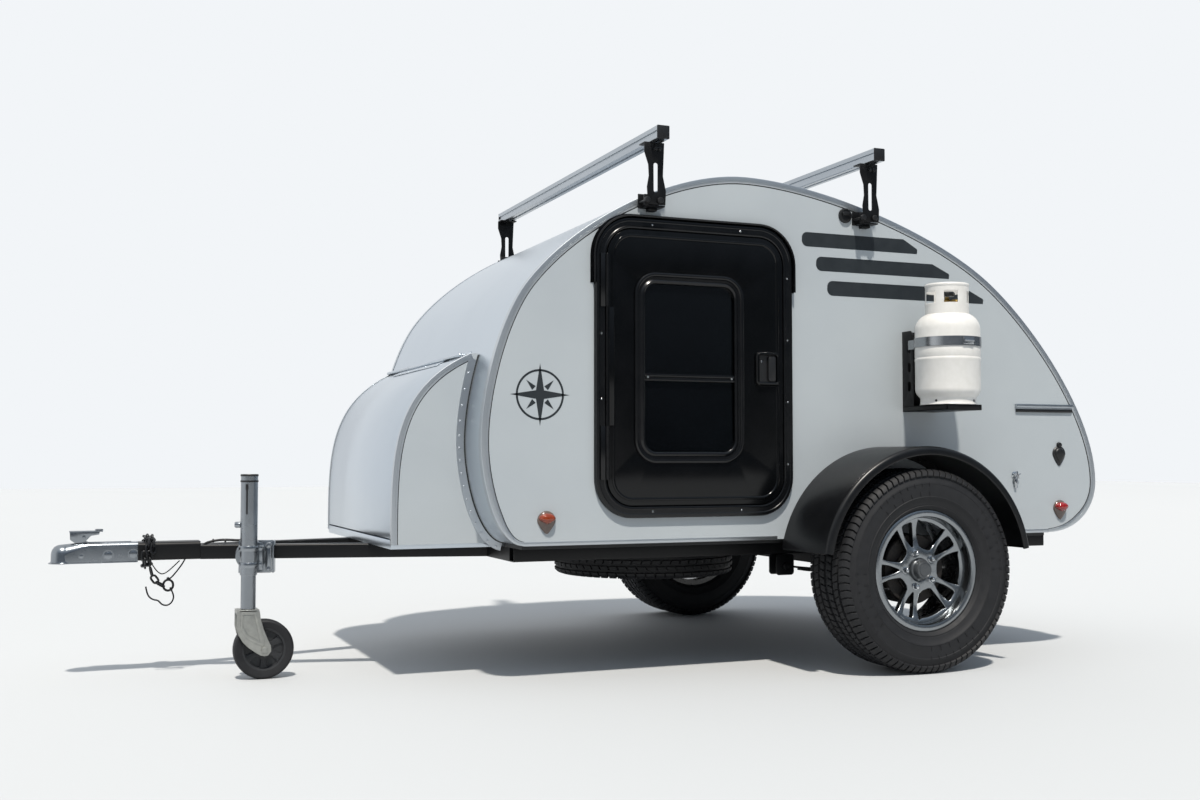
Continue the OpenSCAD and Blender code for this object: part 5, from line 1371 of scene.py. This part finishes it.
tap.append(moved(slab(14, 20, 6, 4, 1.5), (0, -8, 2)))
piece("water_tap", moved(joined(tap), facing(-600, SIDE_Y, 680)), chrome, twin=True)

# ---- Side graphics --------------------------------------------------------------------------
# Cut charcoal vinyl: three stepped stripes behind the door and a plain compass rose ahead of it.
vinyl = finish("charcoal_vinyl", 40, ("#22272b", "#282d31"), (0.36, 0.48), 0.02,
               Specular_IOR_Level=0.35)
VINYL = 0.4

decals = []
for front, shoulder, tip, top, low, end in (
    (337, -100, -162, 1560, 1508, 1524), (278, -229, -306, 1474, 1422, 1438),
    (232, -384, -463, 1388, 1334, 1350),
):
    r, middle = (top - low) / 2 - 4, (top + low) / 2
    loop = arc(r, range(-90, 1, 15), front - r, middle - 4)
    loop += arc(r, range(15, 91, 15), front - r, middle + 4)
    loop += [(shoulder, top), (tip + 2, end + 3), (tip, end - 2), (tip + 2, low)]
    decals.append(moved(cut_plate(loop, [], VINYL), facing(0, SIDE_Y, 0)))


def star(points, r_out, r_in, start):
    """A star's outline, tip and notch by turns."""
    return [arc(r_in if k % 2 else r_out, [start + 180 * k / points])[0] for k in range(2 * points)]


at_badge = facing(1335, SIDE_Y, 954)
decals.append(moved(cut_plate(star(4, 104, 20, 90), [], VINYL), at_badge))
for a in (45, 135, 225, 315):
    decals.append(moved(cut_plate([(30, -9), (68, 0), (30, 9)], [], VINYL), at_badge @ turn(a, "Z")))
decals.append(moved(cut_plate(ring_points(84, 64), [ring_points(77, 64)], VINYL), at_badge))
piece("side_graphics_vinyl", joined(decals), vinyl, twin=True)

# ---- Fenders --------------------------------------------------------------------------------
# Rolled steel fenders, screwed to the wall through an inner flange, with a turned-down outer
# edge and squared, slightly flared ends. Powder coated black, a little glossier than the frame.
FENDER_R, FENDER_OUT, FENDER_ENDS = 432, 1035, 9.5

fender_black = finish("fender_powder_coat", 50, ("#08090b", "#0d0e10"), (0.28, 0.37), 0.05,
                      Specular_IOR_Level=0.35)
section = [
    (FENDER_R, SIDE_Y + 0.3), (FENDER_R, FENDER_OUT - 16), (FENDER_R - 2, FENDER_OUT - 8),
    (FENDER_R - 7, FENDER_OUT - 2.5), (FENDER_R - 14, FENDER_OUT), (FENDER_R - 27, FENDER_OUT),
    (FENDER_R - 30, FENDER_OUT - 2), (FENDER_R - 30, FENDER_OUT - 6), (FENDER_R - 27, FENDER_OUT - 5),
    (FENDER_R - 15, FENDER_OUT - 4), (FENDER_R - 9, FENDER_OUT - 6), (FENDER_R - 5, FENDER_OUT - 11),
    (FENDER_R - 4, FENDER_OUT - 17), (FENDER_R - 4, SIDE_Y + 4.3), (FENDER_R - 28, SIDE_Y + 4.3),
    (FENDER_R - 30, SIDE_Y + 3), (FENDER_R - 30, SIDE_Y + 0.3),
]
part, rows = bmesh.new(), []
for x, z in arc(1, [FENDER_ENDS + (180 - 2 * FENDER_ENDS) * k / 72 for k in range(73)]):
    rows.append([part.verts.new((r * x, y, AXLE_Z + r * z)) for r, y in section])
fender = [skinned(part, rows)]
for k in range(7):
    at = shift(0, SIDE_Y + 4.3, AXLE_Z) @ turn(-22 - 22.7 * k, "Y") @ shift(FENDER_R - 17, 0, 0)
    fender.append(moved(bolt(6), at @ OUT_LEFT))
for a in (FENDER_ENDS, 180 - FENDER_ENDS):
    at = shift(0, 0, AXLE_Z) @ turn(-a, "Y")
    bead = rod(3.4, FENDER_OUT - SIDE_Y - 22, steps=16, soft=0.8)
    fender.append(moved(bead, at @ shift(FENDER_R - 3, SIDE_Y + 6, 0) @ OUT_LEFT))
piece("fender_shells", joined(fender), fender_black, replaces=("fenders",), twin=True)

# ---- Jockey wheel ---------------------------------------------------------------------------
# Zinc-plated swing-up jockey wheel: bracket on the left drawbar leg, outer tube with side crank,
# inner leg, cast fork and a grey plastic wheel with a solid tyre.
JOCKEY_X, JOCKEY_Y = 2195, 225
JOCKEY_LOW, JOCKEY_TOP, FORK_TOP, TRAIL = 350, 684, 236, 52

cast_zinc = finish("cast_zinc_alloy", 18, ("#9c9d99", "#adaea9"), (0.4, 0.52), 0.12, metallic=0.9)
wheel_plastic = finish("grey_wheel_plastic", 6, ("#1d1f22", "#26282b"), (0.45, 0.6), 0.05)
at_jockey = shift(JOCKEY_X, JOCKEY_Y, 0) @ turn(-LEG_ANGLE, "Z")
PIVOT_Z, TUBE_R, PLATE_Y = 412, 28.5, -80.6
bracket = [block(x, y, (JOCKEY_LOW, 460), 1.2) for x, y in (
    ((-75, 44), (-130.5, -124.5)), ((-75, -69), (-130.5, PLATE_Y)), ((38, 44), (-130.5, PLATE_Y)))]
boss = turned([(0, 0), (50.5, 0), (52, 1.5), (52, 6), (49, 8), (49, 11), (52, 13), (50.5, 14.7),
               (0, 14.7)], 72)
bracket += [
    moved(slab(119, 110, 6, 14, 1.5), facing(-15.5, -86.5, 405)),
    moved(boss, shift(0, PLATE_Y, PIVOT_Z) @ OUT_LEFT),
    moved(slab(20, 100, 34, 8, 2.5), facing(-60, -80.5, 406)),
]
for z in (366, 446):
    bracket.append(moved(bolt(8), shift(-60, -46.5, z) @ OUT_LEFT))
piece("jockey_bracket_plates", moved(joined(bracket), at_jockey), zinc,
      replaces=("jockey_bracket",))

arm = [turned([(TUBE_R - 3, JOCKEY_LOW), (TUBE_R - 1, JOCKEY_LOW), (TUBE_R, JOCKEY_LOW + 1.5),
               (TUBE_R, JOCKEY_TOP), (TUBE_R - 3, JOCKEY_TOP)], 64)]
arm.append(moved(turned([(0, 0), (50.5, 0), (52, 1.5), (52, 6.5), (50.5, 8), (0, 8)], 72),
                 shift(0, -65.3, PIVOT_Z) @ OUT_LEFT))
arm.append(softened(block((-26, 26), (-65.3, -20), (362, 462)), 3))
for z in (384, 440):
    arm.append(turned([(TUBE_R, z - 9), (TUBE_R + 3.4, z - 9), (TUBE_R + 4, z - 8), (TUBE_R + 4, z + 8),
                       (TUBE_R + 3.4, z + 9), (TUBE_R, z + 9)], 64))
    arm.append(block((-43, -29), (-14, -9), (z - 9, z + 9), 1))
    arm.append(moved(bolt(8), shift(-37, -9, z) @ OUT_LEFT))
arm.append(block((-44, -29), (-19, -14.2), (366, 458), 1.2))
arm.append(moved(turned([(0, 0), (8, 0), (8, 42), (6, 45), (0, 45)], 28),
                 shift(0, -26, JOCKEY_TOP - 22) @ turn(90, "X")))
arm.append(block((-9, 9), (-76, -70), (JOCKEY_TOP - 110, JOCKEY_TOP - 10), 2))
arm.append(moved(turned([(0, 0), (9, 0), (10.5, 2), (10.5, 16), (8, 20), (0, 20)], 20),
                 shift(31, 0, 520) @ ALONG_X @ shift(0, 0, -4)))
piece("jockey_outer_tube", moved(joined(arm), at_jockey), zinc, "jockey_arm",
      ("jockey_tube",))
cap = [turned([(0, JOCKEY_TOP), (29.4, JOCKEY_TOP), (30, JOCKEY_TOP + 1), (30, JOCKEY_TOP + 5),
               (28.5, JOCKEY_TOP + 7), (12, JOCKEY_TOP + 7), (0, JOCKEY_TOP + 6.6)], 56),
       turned([(TUBE_R + 0.1, 664), (30, 664), (30, 670), (TUBE_R + 0.1, 670)], 56)]
cap.append(moved(turned([(0, 0), (9, 0), (11, 3), (11, 40), (9, 45.5), (0, 45.5)], 28),
                 shift(0, -76.2, JOCKEY_TOP - 100) @ turn(90, "X")))
# The thin black strip standing proud of the tube is painted shade: it stands for the dark of a groove down
# the tube, which is not cut in.
groove = block((-3, 3), (TUBE_R - 0.6, TUBE_R + 0.5), (556, 650), 0.2)
cap.append(moved(groove, turn(-8, "Z")))
cap.append(moved(slab(9, 20, 4, 3, 1), turn(-8, "Z") @ facing(0, TUBE_R - 0.5, 648)))
piece("jockey_cap_and_grip", moved(joined(cap), at_jockey), black_plastic, "jockey_arm")
inner = [turned([(0, FORK_TOP + 0.5), (24, FORK_TOP + 0.5), (25, FORK_TOP + 1.5), (25, 566), (0, 566)], 64),
         moved(rod(10, 24), (0, 0, FORK_TOP - 24))]
piece("jockey_inner_leg", moved(joined(inner), at_jockey), zinc, "jockey_slider",
      ("jockey_leg",))
at_fork = at_jockey @ turn(LEG_ANGLE, "Z")
cheek = [(40, 236), (-33, 236), (-36, 222), (-38, 205), (-48, 170), (-62, 135), (-73, 112), (-74, 94),
         (-64, 81), (-52, 78), (-38, 82), (-22, 92), (0, 108), (20, 128), (34, 152), (40, 180)]
fork = []
rib_edge = [(30, 230), (-24, 230), (-28, 205), (-54, 122), (-44, 112), (8, 140), (28, 172)]
rib_hole = [(20, 220), (20, 180), (2, 152), (-36, 130), (-20, 205), (-16, 220)]
for side in (1, -1):
    flip = Matrix.Scale(side, 4, (0, 1, 0))
    fork.append(moved(softened(cut_plate(cheek, [], 5), 1.8), flip @ facing(0, 30, 0)))
    rib = softened(cut_plate(rib_edge, [rib_hole], 2.5), 1)
    fork.append(moved(rib, flip @ facing(0, 34.5, 0)))
    fork.append(moved(bolt(12), shift(-TRAIL, side * 35, 100) @ turn(-90 * side, "X")))
fork.append(moved(slab(75, 70, 14, 10, 3), (3, 0, FORK_TOP - 14)))
fork.append(moved(rod(6, 80, steps=24), shift(-TRAIL, -40, 100) @ OUT_LEFT))
piece("jockey_fork_casting", moved(joined(fork), at_fork), cast_zinc, "jockey_castor",
      ("jockey_fork",))
at_roller = at_fork @ shift(-TRAIL, 0, 100) @ OUT_LEFT
tyre_part = turned([(72, -20), (84, -23), (92, -24), (97, -21), (100, -14), (100, 14), (97, 21), (92, 24),
                    (84, 23), (72, 20)], 96)
piece("jockey_wheel_tyre", moved(tyre_part, at_roller), tyre_rubber, "jockey_roller")
holes = [ring_points(6.4, 24)]
hole = [(30, -4), (34, -10), (56, -19), (62, -15), (63.5, 0), (62, 15), (56, 19), (34, 10), (30, 4)]
holes += [spun(hole, 60 * k) for k in range(6)]
disc = softened(cut_plate(ring_points(72.5, 72), holes, 18), 1.5)
hub = turned([(6.4, -24), (15, -24), (16, -22), (16, 22), (15, 24), (6.4, 24)], 40)
lip = turned([(66, -17), (73, -19), (73, 19), (66, 17)], 72)
web = turned([(15, -3), (67, -3), (67, 3), (15, 3)], 48)
roller = [moved(disc, (0, 0, -9)), hub, lip, web]
piece("jockey_wheel_centre", moved(joined(roller), at_roller), wheel_plastic, "jockey_roller",
      ("jockey_wheel",))
